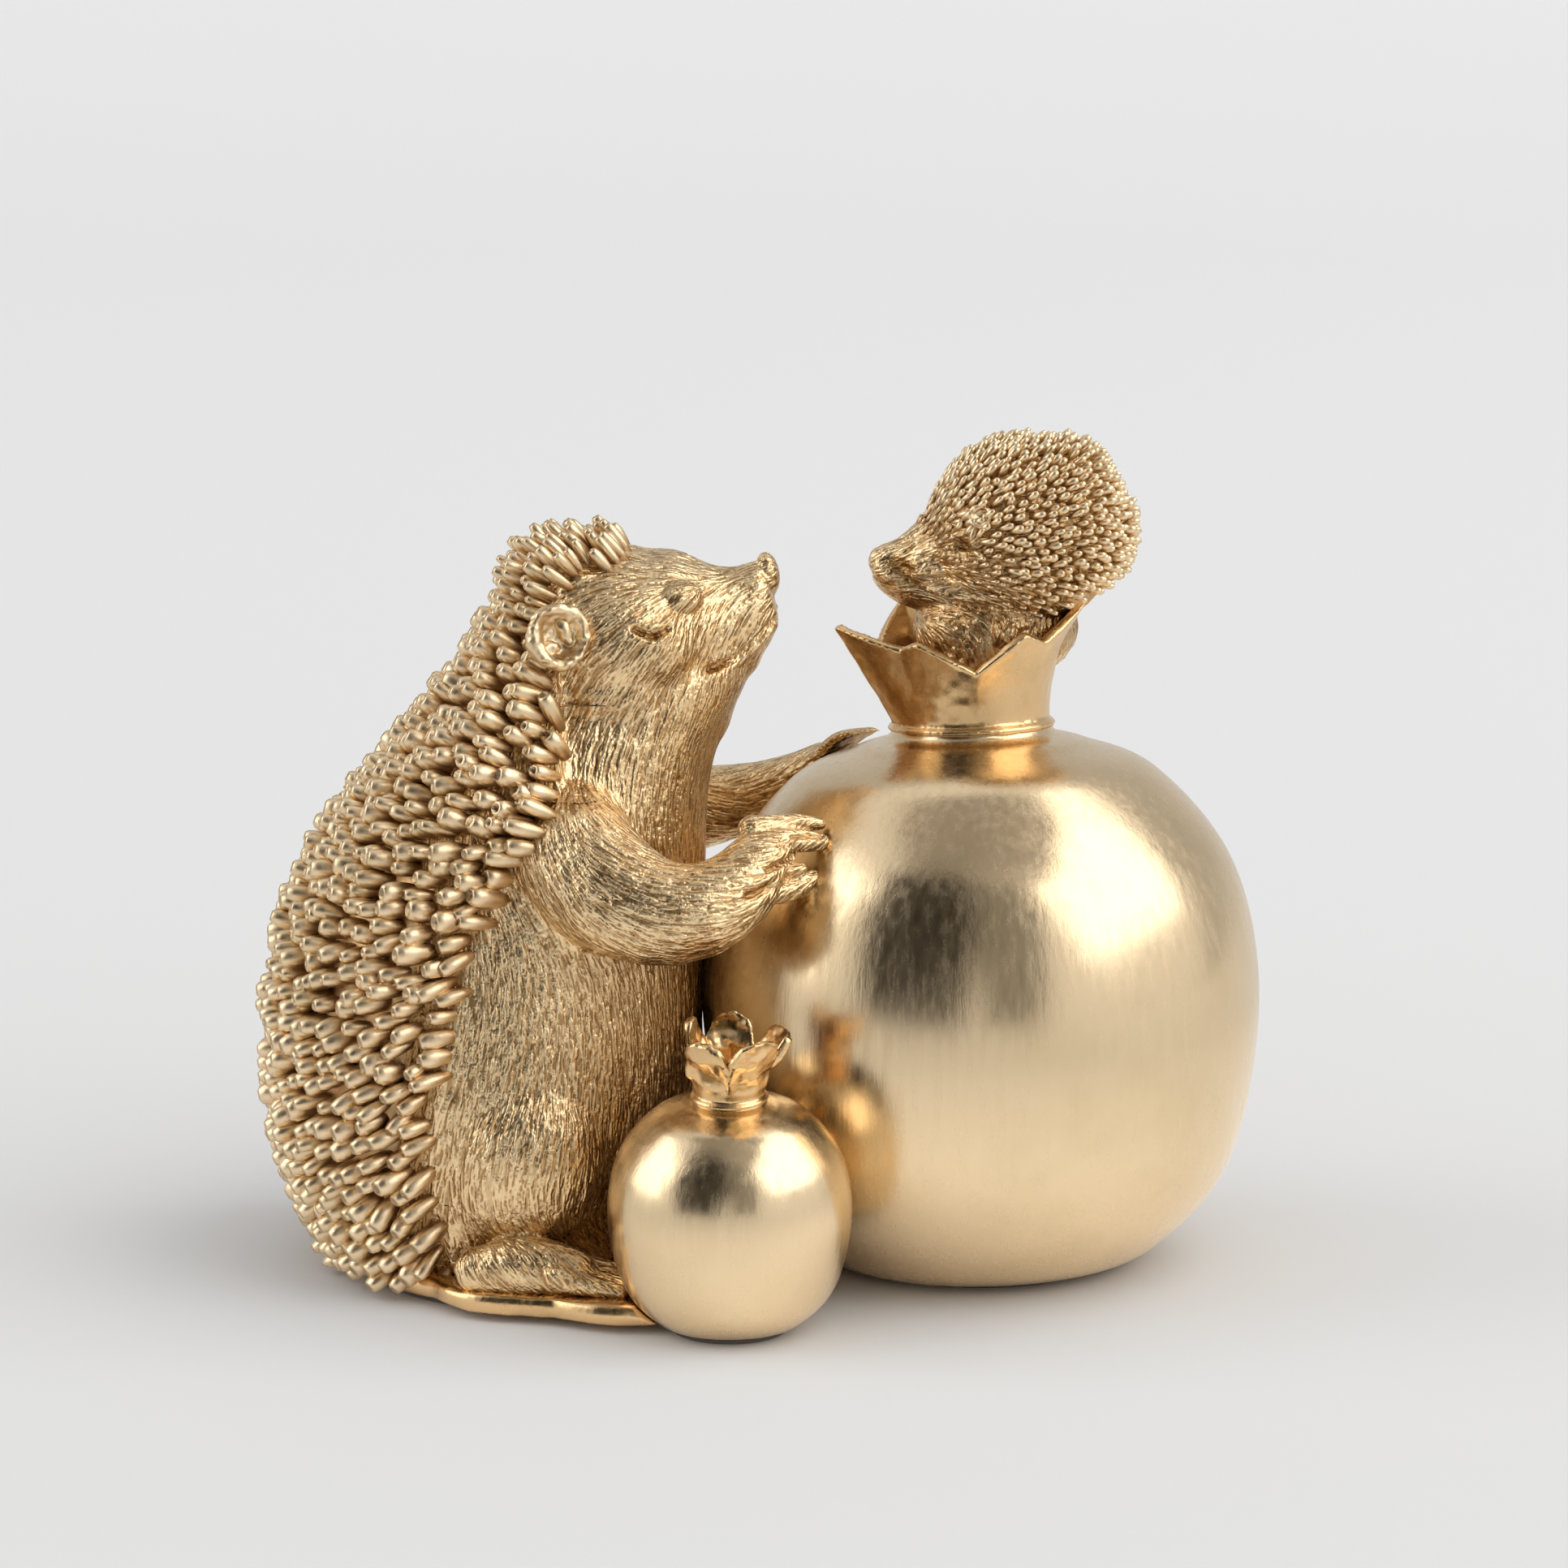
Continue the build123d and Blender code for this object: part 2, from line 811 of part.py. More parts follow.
young_quill = quill(young_quill_radius, young_quill_length)
young_quills = quill_planes(
    young_coat_form.faces(),
    young_quill_pitch,
    young_quill_sink,
    young_flow,
    holds_young_quill,
)
print("quills on the mother", len(mother_quills), "on the young", len(young_quills))
with BuildPart() as young_shell:
    add(young_coat_form.part)
    split(bisect_by=young_coat_plane, keep=Keep.TOP)
    add(young_head.part, mode=Mode.SUBTRACT)
    add(young_body.part, mode=Mode.SUBTRACT)
    add(fruit_crown.part, mode=Mode.SUBTRACT)
with BuildPart() as young_coat:
    add(young_shell.part)
    with Locations(*young_quills):
        add(young_quill, clean=False)
save(young_coat, "young_quill_cap")

# Young hedgehog: ears and paws
for side, name in ((-1, "young_near_ear"), (1, "young_far_ear")):
    with BuildPart() as young_ear:
        rim_place = young_middle + Vector(
            -young_ear_forward, side * young_ear_out, young_ear_rise
        )
        ear(
            Plane(rim_place, x_dir=(0, 0, 1), z_dir=(-0.6, side, 0.3)),
            young_ear_radius,
            young_ear_thickness,
            young_ear_dish_radius,
            young_ear_dish_depth,
        )
        add(young_head.part, mode=Mode.SUBTRACT)
        add(young_shell.part, mode=Mode.SUBTRACT)
    save(young_ear, name)

for side, name in ((-1, "young_near_paw"), (1, "young_far_paw")):
    with BuildPart() as young_paw:
        shoulder = body_rows[-2][0] + Vector(0, side * young_body_radius, 0)
        rows = []
        for along, up, width in young_paw_shares:
            place = shoulder + Vector(along, 0, up) * young_paw_length
            rows.append((place, width * young_paw_radius))
        limb(rows)
        add(young_body.part, mode=Mode.SUBTRACT)
        add(young_head.part, mode=Mode.SUBTRACT)
        add(young_shell.part, mode=Mode.SUBTRACT)
        add(fruit_crown.part, mode=Mode.SUBTRACT)
    save(young_paw, name)

# Felt
with BuildPart() as ground_felt:
    with BuildSketch():
        with Locations((ground_middle, 0)):
            Ellipse(ground_half_length - felt_margin, ground_half_width - felt_margin)
    extrude(amount=felt_thickness)
with BuildPart() as fruit_felt:
    with BuildSketch():
        Circle(fruit_felt_share * fruit_radius)
    extrude(amount=felt_thickness)
with BuildPart() as small_felt:
    with BuildSketch():
        with Locations((small_right, small_back)):
            Circle(fruit_felt_share * small_radius)
    extrude(amount=felt_thickness)
save(ground_felt, "ground_felt")
save(fruit_felt, "large_fruit_felt")
save(small_felt, "small_fruit_felt")
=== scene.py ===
import json
import math
from contextlib import contextmanager

import bpy
import numpy as np
from mathutils import Matrix, Vector

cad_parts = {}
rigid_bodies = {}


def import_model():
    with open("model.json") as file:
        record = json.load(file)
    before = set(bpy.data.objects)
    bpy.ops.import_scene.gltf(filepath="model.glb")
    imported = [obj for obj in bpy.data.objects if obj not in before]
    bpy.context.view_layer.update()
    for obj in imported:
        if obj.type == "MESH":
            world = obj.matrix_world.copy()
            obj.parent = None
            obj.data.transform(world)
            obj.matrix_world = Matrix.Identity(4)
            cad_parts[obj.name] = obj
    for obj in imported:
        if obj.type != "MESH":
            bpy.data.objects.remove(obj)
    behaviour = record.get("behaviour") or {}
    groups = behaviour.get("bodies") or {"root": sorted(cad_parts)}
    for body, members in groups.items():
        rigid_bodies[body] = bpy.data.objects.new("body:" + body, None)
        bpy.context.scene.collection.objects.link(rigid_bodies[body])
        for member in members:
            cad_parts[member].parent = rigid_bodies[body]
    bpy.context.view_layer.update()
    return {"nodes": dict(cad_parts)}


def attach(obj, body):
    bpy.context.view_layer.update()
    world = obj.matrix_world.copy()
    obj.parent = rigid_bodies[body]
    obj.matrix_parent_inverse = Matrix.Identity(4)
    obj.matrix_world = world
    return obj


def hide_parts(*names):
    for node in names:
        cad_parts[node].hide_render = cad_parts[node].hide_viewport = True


# Looks of a gilded hedgehog figurine. Sizes and places are millimetres in the part's frame.
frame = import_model()
mm = 0.001
rng = np.random.default_rng(11)
sample_count = 60000

# Large fruit and its crown
fruit_radius = 38.0
fruit_centre = Vector((0.0, 0.0, 34.7))
fruit_lean_back = 5.0
fruit_lean_left = 2.0
fruit_outline_shares = (
    (0.0, -0.97), (0.30, -0.955), (0.60, -0.87), (0.88, -0.56), (1.0, 0.0),
    (0.924, 0.495), (0.664, 0.838), (0.42, 0.955), (0.31, 0.99), (0.284, 1.035),
)
neck_height_share = 1.02
fruit_dent_share = 0.0045
crown_neck_radius = 10.6
crown_wall = 1.3
crown_cell = 0.3
neck_ring_radius = 0.5
# Rim of the crown: direction in degrees, height over the neck, radius and how late it flares
crown_rim = (
    (196.0, 14.5, 19.0, 1.05), (226.0, 11.6, 13.8, 1.5), (238.0, 12.5, 14.2, 1.7),
    (273.0, 8.3, 13.0, 1.9), (302.0, 13.2, 14.4, 2.0), (318.0, 11.8, 13.8, 2.1),
    (360.0, 18.6, 17.6, 2.25), (395.0, 10.0, 14.0, 2.1), (425.0, 17.0, 15.0, 2.0),
    (458.0, 9.5, 13.5, 2.0), (492.0, 16.2, 14.0, 1.8), (522.0, 10.5, 13.5, 1.5),
    (556.0, 14.5, 19.0, 1.05),
)

# Small fruit
small_radius = 16.2
small_centre = Vector((-34.0, -37.0, 15.6))
small_lean_front = 6.0
small_neck_radius = 4.5
small_leaf_count = 5
small_leaf_turn = 18.0
small_leaf_flare = 1.5
small_leaf_wall = 0.9
leaf_cell = 0.22
small_leaf_height = 9.6
small_notch_height = 3.6
small_leaf_radius = 7.2
small_notch_radius = 5.6
small_leaf_outline = (
    (-1.0, 0.0), (-0.86, 0.5), (-0.62, 0.86), (-0.25, 1.0), (0.25, 0.97),
    (0.62, 0.84), (0.86, 0.5),
)

# Ground and felt
felt_thickness = 1.0
ground_top = 4.2
ground_cell = 0.45
ground_dent_depth = 0.12

# Mother
body_middle = -63.0
body_height = 96.0
body_half_depth = 26.0
body_half_width = 31.0
fur_cell = 0.23
wax_cell = 0.6
limb_spacing = 0.9 * 0.45
forehead_drop = 0.9
# Skin of the coat over the ground: height, middle, half depth and half width
coat_shares = (
    (-0.02, 0.08, 0.98, 0.97), (0.07, 0.07, 1.14, 1.06), (0.18, 0.09, 1.28, 1.10),
    (0.33, 0.09, 1.29, 1.06), (0.48, 0.11, 1.19, 0.97), (0.60, 0.17, 1.00, 0.88),
    (0.72, 0.29, 0.73, 0.77), (0.85, 0.41, 0.50, 0.64), (0.935, 0.46, 0.45, 0.52),
    (0.975, 0.43, 0.31, 0.36), (0.993, 0.45, 0.07, 0.10),
)
# Front edge of the coat seen from the side, along and up, by the same body sizes
hairline_shares = (
    (0.60, 1.10), (0.58, 1.01), (0.57, 0.985), (0.50, 0.97), (0.34, 0.955),
    (0.23, 0.935), (0.20, 0.91), (0.19, 0.87), (0.24, 0.825), (0.25, 0.76),
    (0.26, 0.70), (0.18, 0.64), (0.01, 0.57), (-0.155, 0.48), (-0.27, 0.375),
    (-0.35, 0.29), (-0.43, 0.20), (-0.385, 0.10), (-0.31, 0.03), (-0.30, -0.10),
)
coat_columns = 220
coat_rows = 150
quill_length = 5.6
quill_radius = 1.34
quill_across = 2.05
quill_along = 2.75
quill_lift = 0.70
quill_disorder = 0.16
quill_sink = 1.7
coat_skin_sink = 0.3
edge_sink = 3.0
edge_run = 8.0
quill_floor = 1.2

# Young
young_middle = Vector((4.9, 6.5, 98.7))
young_skull_radius = 12.9
# Front edge of the young one's quills seen from the side, along and up
young_hairline = (
    (5.5, 84.0), (4.4, 87.0), (3.4, 89.5), (2.4, 91.5), (0.0, 93.4),
    (-3.6, 95.4), (-6.0, 97.6), (-7.6, 99.6), (-8.8, 101.5), (-10.0, 103.4),
)
young_quill_floor = 88.6
young_quill_slope = 0.42
young_eye_place = (-2.8, 99.1)
young_eye_clearing = 1.7
young_quill_length = 2.6
young_quill_sink = 0.6
young_quill_radius = 0.52
young_quill_across = 0.90
young_quill_along = 1.32
young_quill_lift = 0.75
young_quill_way = (1.0, 0.0, 0.3)
young_quill_disorder = 0.14
young_cell = 0.24

# Finishes: sizes in millimetres, noise scales per metre
# Dark tint of painted shade for the fruits' and crowns' finishes
painted_shade_brown = (0.30, 0.17, 0.06)
patch_size = 70.0
grain_depth = 0.1
hair_width = 0.36
hair_length = 1.3
hair_taps = 7
hair_bump = 0.65
hair_depth = 0.16

# View of the photograph and middle of the studio
object_middle = Vector((-20.0, 0.0, 50.0))
view_distance = 1000.0
view_elevation = 12.0
view_target = Vector((-26.8, 0.0, 65.9))
view_width = 212.5
sensor_width = 36.0


def deselect_all():
    bpy.ops.object.select_all(action="DESELECT")


def only(*pieces):
    """Select these pieces and make the first one active."""
    deselect_all()
    for piece in pieces:
        piece.select_set(True)
    bpy.context.view_layer.objects.active = pieces[0]


def titled(piece, title):
    piece.name = title
    piece.data.name = title
    return piece


def points_of(piece):
    """A mesh's points in millimetres."""
    flat = np.empty(len(piece.data.vertices) * 3)
    piece.data.vertices.foreach_get("co", flat)
    return flat.reshape(-1, 3) / mm


def normals_of(piece):
    flat = np.empty(len(piece.data.vertices) * 3, dtype=np.float32)
    piece.data.vertex_normals.foreach_get("vector", flat)
    return flat.reshape(-1, 3).astype(float)


def move_points(piece, points):
    piece.data.vertices.foreach_set("co", (points * mm).ravel())
    piece.data.update()


def raise_skin(piece, heights):
    """Move a skin's points outwards by a height for each, in millimetres."""
    move_points(piece, points_of(piece) + normals_of(piece) * heights[:, None])


def mark(piece, name, values):
    """Keep a number for each point, which the finish reads."""
    layer = piece.data.attributes.new(name, "FLOAT", "POINT")
    layer.data.foreach_set("value", np.asarray(values, dtype=np.float32))


def mark_ways(piece, name, ways):
    """Keep a direction for each point, which the finish reads."""
    layer = piece.data.attributes.new(name, "FLOAT_VECTOR", "POINT")
    layer.data.foreach_set("vector", np.asarray(ways, dtype=np.float32).ravel())


def new_object(title, data):
    piece = bpy.data.objects.new(title, data)
    bpy.context.scene.collection.objects.link(piece)
    return piece


def mesh_piece(title, points, faces):
    """A new piece from points in millimetres and their faces."""
    mesh = bpy.data.meshes.new(title)
    mesh.from_pydata((np.asarray(points) * mm).tolist(), [], faces)
    mesh.update()
    return new_object(title, mesh)


def ring_faces(rings, count):
    """Four-sided faces between closed rings of points."""
    faces = []
    for ring in range(rings - 1):
        for number in range(count):
            after = (number + 1) % count
            low, high = ring * count, (ring + 1) * count
            faces.append((low + number, low + after, high + after, high + number))
    return faces


def end_faces(rings, count):
    """Faces that close the first ring and the last one."""
    last = (rings - 1) * count
    return [tuple(range(count))[::-1], tuple(range(last, last + count))]


def applied(piece, kind, **settings):
    """Add one modifier, set it and apply it."""
    only(piece)
    bpy.ops.object.modifier_add(type=kind)
    modifier = piece.modifiers[-1]
    for name, value in settings.items():
        setattr(modifier, name, value)
    bpy.ops.object.modifier_apply(modifier=modifier.name)
    return piece


def joined(title, pieces):
    only(*pieces)
    bpy.ops.object.join()
    return titled(pieces[0], title)


def smooth(piece):
    only(piece)
    bpy.ops.object.shade_smooth()
    return piece


@contextmanager
def editing(piece):
    """Edit a mesh with all of it selected."""
    only(piece)
    bpy.ops.object.mode_set(mode="EDIT")
    bpy.ops.mesh.select_all(action="SELECT")
    yield
    bpy.ops.object.mode_set(mode="OBJECT")


def outward(piece):
    """Merge doubles and turn all faces outwards."""
    with editing(piece):
        bpy.ops.mesh.remove_doubles(threshold=0.005 * mm)
        bpy.ops.mesh.normals_make_consistent(inside=False)
    return piece


def twin(source, title):
    """A copy of a piece with a mesh of its own."""
    return titled(new_object(title, source.data.copy()), title)


def node_copy(node):
    """A copy of a casting's plain form, its loose triangles merged."""
    piece = twin(frame["nodes"][node], node + "_form")
    with editing(piece):
        bpy.ops.mesh.remove_doubles(threshold=0.002 * mm)
    piece.data.materials.clear()
    return piece


def placed():
    """Put the new primitive's place into its mesh."""
    bpy.ops.object.transform_apply(location=True, rotation=True, scale=True)
    return bpy.context.active_object


def ball(middle, half, lean=(0.0, 0.0, 0.0)):
    """An egg-shaped lump of modelling wax."""
    deselect_all()
    bpy.ops.mesh.primitive_uv_sphere_add(
        segments=32,
        ring_count=20,
        radius=1.0,
        location=Vector(middle) * mm,
        rotation=[math.radians(angle) for angle in lean],
        scale=Vector(half) * mm,
    )
    return placed()


def both_sides(middle, half, lean=(0.0, 0.0, 0.0)):
    """The same lump on the near side and, mirrored, on the far side."""
    x, y, z = middle
    a, b, c = lean
    return [ball((x, -y, z), half, (a, b, c)), ball((x, y, z), half, (-a, b, -c))]


def fused(title, pieces, cell, passes):
    """Melt lumps into one skin and keep its outer shell."""
    piece = joined(title, pieces)
    applied(piece, "REMESH", mode="VOXEL", voxel_size=cell * mm)
    applied(piece, "SMOOTH", factor=0.5, iterations=passes)
    only(piece)
    bpy.ops.object.mode_set(mode="EDIT")
    bpy.ops.mesh.select_all(action="DESELECT")
    bpy.ops.object.mode_set(mode="OBJECT")
    top = int(np.argmax(points_of(piece)[:, 2]))
    piece.data.vertices[top].select = True
    bpy.ops.object.mode_set(mode="EDIT")
    bpy.ops.mesh.select_linked()
    bpy.ops.mesh.select_all(action="INVERT")
    bpy.ops.mesh.delete(type="VERT")
    bpy.ops.object.mode_set(mode="OBJECT")
    return piece


def sliced(piece, place, normal):
    """Cut a closed piece by a plane and close the cut. The side ahead of it goes."""
    with editing(piece):
        bpy.ops.mesh.bisect(
            plane_co=Vector(place) * mm,
            plane_no=Vector(normal).normalized(),
            use_fill=True,
            clear_outer=True,
        )
    return piece


def soft_noise(points, seed):
    """Smooth noise from -1 to 1 with a cell of 1."""
    cell = np.floor(points).astype(np.int64)
    part = points - cell
    ease = part * part * (3.0 - 2.0 * part)
    primes = np.array([73856093, 19349663, 83492791][: points.shape[1]], dtype=np.int64)
    total = np.zeros(len(points))
    for corner in np.ndindex(*(2,) * points.shape[1]):
        weight = np.prod(np.where(corner, ease, 1.0 - ease), axis=1)
        key = ((cell + np.array(corner)) * primes).sum(axis=1) + seed * 2654435761
        key = (key ^ (key >> 15)) * 2246822519
        key = (key ^ (key >> 13)) * 3266489917
        value = ((key ^ (key >> 16)) & 0xFFFFF) / 0xFFFFF
        total += weight * value
    return 2.0 * total - 1.0


def streaks(points, way, width, length, seed):
    """Noise drawn out along the hairs, as a modelling tool leaves it."""
    total = np.zeros(len(points))
    for share in np.linspace(-0.5, 0.5, 9):
        total += soft_noise((points + way * (share * length)) / width, seed)
    total -= total.mean()
    return total / total.std()


def step(low, high, values):
    """From 0 below low to 1 above high, eased."""
    share = np.clip((values - low) / (high - low), 0.0, 1.0)
    return share * share * (3.0 - 2.0 * share)


def unit(vectors):
    return vectors / np.maximum(np.linalg.norm(vectors, axis=1), 1e-9)[:, None]


def laid_flat(ways, normals):
    """The part of each way that runs along the skin."""
    return unit(ways - normals * (ways * normals).sum(axis=1)[:, None])


def combed_way(points, normals, comb_marks, middle_y):
    """How the hair lies at each point, blended from listed marks."""
    side = np.where(points[:, 1] < middle_y, -1.0, 1.0)
    mirrored = points.copy()
    mirrored[:, 1] = np.abs(points[:, 1] - middle_y)
    way = np.zeros_like(points)
    for place, direction, reach in comb_marks:
        far = ((mirrored - np.array(place)) ** 2).sum(axis=1)
        way += np.exp(-far / (2.0 * reach * reach))[:, None] * np.array(direction)
    way[:, 1] *= side
    return laid_flat(way, normals)


def path_distance(points, path):
    """Distance of points to a path, in the space of both."""
    nearest = np.full(len(points), 1e9)
    for start, end in zip(path, path[1:]):
        start, end = np.array(start), np.array(end)
        run = end - start
        share = np.clip(((points - start) @ run) / (run @ run), 0.0, 1.0)
        gap = np.linalg.norm(points - start - share[:, None] * run, axis=1)
        nearest = np.minimum(nearest, gap)
    return nearest


def curve_through(marks, count):
    """Points on a smooth curve through marks."""
    marks = np.array(marks, dtype=float)
    padded = np.vstack([2 * marks[0] - marks[1], marks, 2 * marks[-1] - marks[-2]])
    points = []
    spans = len(marks) - 1
    for place in np.linspace(0.0, spans, count):
        span = min(int(place), spans - 1)
        t = place - span
        a, b, c, d = padded[span : span + 4]
        points.append(
            0.5 * (2 * b + (c - a) * t + (2 * a - 5 * b + 4 * c - d) * t * t
                   + (3 * b - a - 3 * c + d) * t ** 3)
        )
    return np.array(points)


def turned(outline, count):
    """Rings of points about the Z axis from radius and height pairs."""
    return [
        (radius * math.cos(angle), radius * math.sin(angle), height)
        for radius, height in outline
        for angle in np.linspace(0.0, 2.0 * math.pi, count, endpoint=False)
    ]


def lathe(title, outline, segments):
    """A form turned about the Z axis."""
    faces = ring_faces(len(outline), segments)
    return outward(mesh_piece(title, turned(outline, segments), faces))


def leaned(centre, lean_x, lean_y):
    """Lean, in degrees, and place of a fruit."""
    lean = Matrix.Rotation(math.radians(lean_x), 4, "X")
    lean = lean @ Matrix.Rotation(math.radians(lean_y), 4, "Y")
    return Matrix.Translation(centre) @ lean


def posed(piece, pose):
    matrix = np.array(pose)
    points = points_of(piece)
    move_points(piece, points @ matrix[:3, :3].T + matrix[:3, 3])
    return piece


def pomegranate(title, radius, neck_radius, pose, segments):
    """A smooth fruit with a hand-rubbed, faintly uneven skin, cut flat at its foot."""
    scale = neck_radius / (fruit_outline_shares[-1][0] * radius)
    marks = [(r * radius, h * radius) for r, h in fruit_outline_shares]
    marks[-1] = (neck_radius, marks[-1][1])
    marks[-2] = (marks[-2][0] * (0.5 + 0.5 * scale), marks[-2][1])
    outline = curve_through(marks, 150)
    outline[:, 0] = np.maximum(outline[:, 0], 0.0)
    outline[0, 0] = 0.0
    outline = np.vstack([outline, (0.0, outline[-1, 1])])
    piece = lathe(title, outline, segments)
    points = points_of(piece)
    drawn = points / np.array([radius * 0.5, radius * 0.5, radius * 1.1])
    dents = soft_noise(drawn, 3) + 0.5 * soft_noise(drawn * 2.3, 5)
    fade = step(0.0, 0.25, 1.0 - np.abs(points[:, 2]) / radius)
    raise_skin(piece, dents * fade * fruit_dent_share * radius)
    posed(piece, pose)
    points = points_of(piece)
    points[:, 2] = np.maximum(points[:, 2], felt_thickness)
    move_points(piece, points)
    outward(piece)
    return smooth(piece)


def flared_cup(title, neck, rim_marks, wall, levels):
    """A cup that opens from a neck to a rim drawn through marks."""
    ring = []
    for low, high in zip(rim_marks, rim_marks[1:]):
        steps = max(2, round((high[0] - low[0]) / 3.5))
        for number in range(steps):
            share = number / steps
            ring.append([a + share * (b - a) for a, b in zip(low, high)])
    points = []
    for level in range(levels + 1):
        u = level / levels
        for angle, height, radius, flare in ring:
            turn = math.radians(angle)
            reach = neck + (radius - neck) * u ** flare
            points.append((reach * math.cos(turn), reach * math.sin(turn), height * u))
    piece = mesh_piece(title, points, ring_faces(levels + 1, len(ring)))
    return applied(piece, "SOLIDIFY", thickness=wall * mm, offset=-1.0)


def limb(marks):
    """Overlapping balls along a path. Each mark is a place and a radius."""
    pieces, last = [], None
    for x, y, z, radius in curve_through(marks, 60):
        if last is None or math.dist(last, (x, y, z)) > limb_spacing * radius:
            pieces.append(ball((x, y, z), (radius, radius, radius)))
            last = (x, y, z)
    return pieces


def disc(middle, radius, depth):
    deselect_all()
    bpy.ops.mesh.primitive_cylinder_add(
        vertices=64, radius=radius * mm, depth=depth * mm, location=Vector(middle) * mm
    )
    return placed()


def ring_roll(middle, radius, thickness):
    deselect_all()
    bpy.ops.mesh.primitive_torus_add(
        major_segments=128,
        minor_segments=12,
        major_radius=radius * mm,
        minor_radius=thickness * mm,
        location=Vector(middle) * mm,
    )
    return placed()


def seated_crown(title, cup, neck, floor_rise, roll_out, cell, passes, pose, fruit_size):
    """A cup, its floor and the roll round its neck, melted and set on its fruit."""
    floor = disc((0.0, 0.0, floor_rise), neck - 0.25 * floor_rise, 2.5 * floor_rise)
    roll = ring_roll((0.0, 0.0, 0.2), neck + roll_out, neck_ring_radius)
    crown = fused(title, [cup, floor, roll], cell, passes)
    seat = Matrix.Translation((0.0, 0.0, neck_height_share * fruit_size))
    return posed(crown, pose @ seat)


# Fruits
fruit_pose = leaned(fruit_centre, -fruit_lean_back, -fruit_lean_left)
small_pose = leaned(small_centre, small_lean_front, 0.0)
large_fruit = pomegranate("large_fruit_skin", fruit_radius, crown_neck_radius, fruit_pose, 256)
small_fruit = pomegranate("small_fruit_skin", small_radius, small_neck_radius, small_pose, 160)

# Crown of the large fruit
cup = flared_cup("crown_cup", crown_neck_radius, crown_rim, crown_wall, 34)
large_crown = seated_crown(
    "large_crown", cup, crown_neck_radius, 1.2, 0.35, crown_cell, 3, fruit_pose, fruit_radius
)
crown_points = points_of(large_crown)
crown_dents = soft_noise(crown_points / 3.5, 21) * 0.10
crown_dents += soft_noise(crown_points / 1.3, 22) * 0.05
raise_skin(large_crown, crown_dents)
smooth(large_crown)

# Crown of the small fruit
small_rim = []
leaf_half = 180.0 / small_leaf_count
for leaf in range(small_leaf_count + 1):
    middle = 2.0 * leaf_half * leaf + small_leaf_turn
    last_leaf = leaf == small_leaf_count
    tall = small_leaf_height * (0.9 + 0.2 * ((leaf * 2) % small_leaf_count) / small_leaf_count)
    for share, rise in small_leaf_outline[: 1 if last_leaf else None]:
        lean_out = 1.3 * rise * math.cos(math.radians(middle))
        small_rim.append(
            (
                middle + share * leaf_half,
                small_notch_height + (tall - small_notch_height) * rise,
                small_notch_radius + (small_leaf_radius - small_notch_radius) * rise + lean_out,
                small_leaf_flare,
            )
        )
cup = flared_cup("small_cup", small_neck_radius, small_rim, small_leaf_wall, 20)
small_crown = seated_crown(
    "small_crown_leaves", cup, small_neck_radius, 0.8, 0.2, leaf_cell, 2, small_pose, small_radius
)
leaf_points = points_of(small_crown)
leaf_height = leaf_points[:, 2] - leaf_points[:, 2].min()
leaf_dents = soft_noise(leaf_points / 2.4, 31) * 0.55
leaf_dents += soft_noise(leaf_points / 0.8, 32) * 0.10
leaf_dents *= step(2.0, 4.0, leaf_height)
raise_skin(small_crown, leaf_dents)
# Painted shade: the leaves are darkened in their dents
mark(small_crown, "painted_shade", step(0.05, 0.3, -leaf_dents))
smooth(small_crown)


# Mother's body under her coat
mother_comb_marks = (
    ((-31.0, 2.0, 96.0), (-1.0, 0.0, -0.2), 4.0),
    ((-36.0, 5.0, 91.0), (-0.5, 0.2, -1.0), 4.0),
    ((-44.0, 6.0, 98.0), (-1.0, 0.1, 0.1), 6.0),
    ((-45.0, 13.0, 88.0), (-0.5, 0.1, -1.0), 5.0),
    ((-52.0, 15.0, 92.0), (-1.0, 0.1, -0.3), 5.0),
    ((-50.0, 15.0, 80.0), (-0.7, 0.1, -1.0), 7.0),
    ((-42.0, 5.0, 78.0), (-0.45, 0.0, -1.0), 7.0),
    ((-42.0, 8.0, 64.0), (-0.1, 0.0, -1.0), 7.0),
    ((-56.0, 20.0, 68.0), (0.1, 0.1, -1.0), 7.0),
    ((-58.0, 27.0, 58.0), (0.6, 0.2, -1.0), 5.0),
    ((-50.0, 30.0, 54.0), (1.0, 0.0, -0.5), 6.0),
    ((-36.0, 28.0, 55.0), (1.0, 0.0, 0.1), 7.0),
    ((-26.0, 24.0, 58.0), (1.0, 0.0, 0.7), 5.0),
    ((-58.0, 28.0, 44.0), (0.1, 0.0, -1.0), 7.0),
    ((-40.0, 15.0, 38.0), (0.1, 0.0, -1.0), 9.0),
    ((-62.0, 30.0, 33.0), (-0.2, 0.0, -1.0), 7.0),
    ((-58.0, 35.0, 20.0), (-0.25, 0.0, -1.0), 8.0),
    ((-46.0, 28.0, 20.0), (-0.1, 0.0, -1.0), 6.0),
    ((-60.0, 33.0, 8.0), (0.8, 0.0, -0.7), 5.0),
    ((-49.0, 30.0, 7.0), (1.0, 0.0, -0.4), 5.0),
)
hairline = curve_through(
    [
        (body_middle + along * body_half_depth, ground_top + rise * body_height)
        for along, rise in hairline_shares
    ],
    120,
)


def hairline_at(heights):
    """How far forward the coat reaches at each height."""
    order = np.argsort(hairline[:, 1])
    return np.interp(heights, hairline[order, 1], hairline[order, 0])


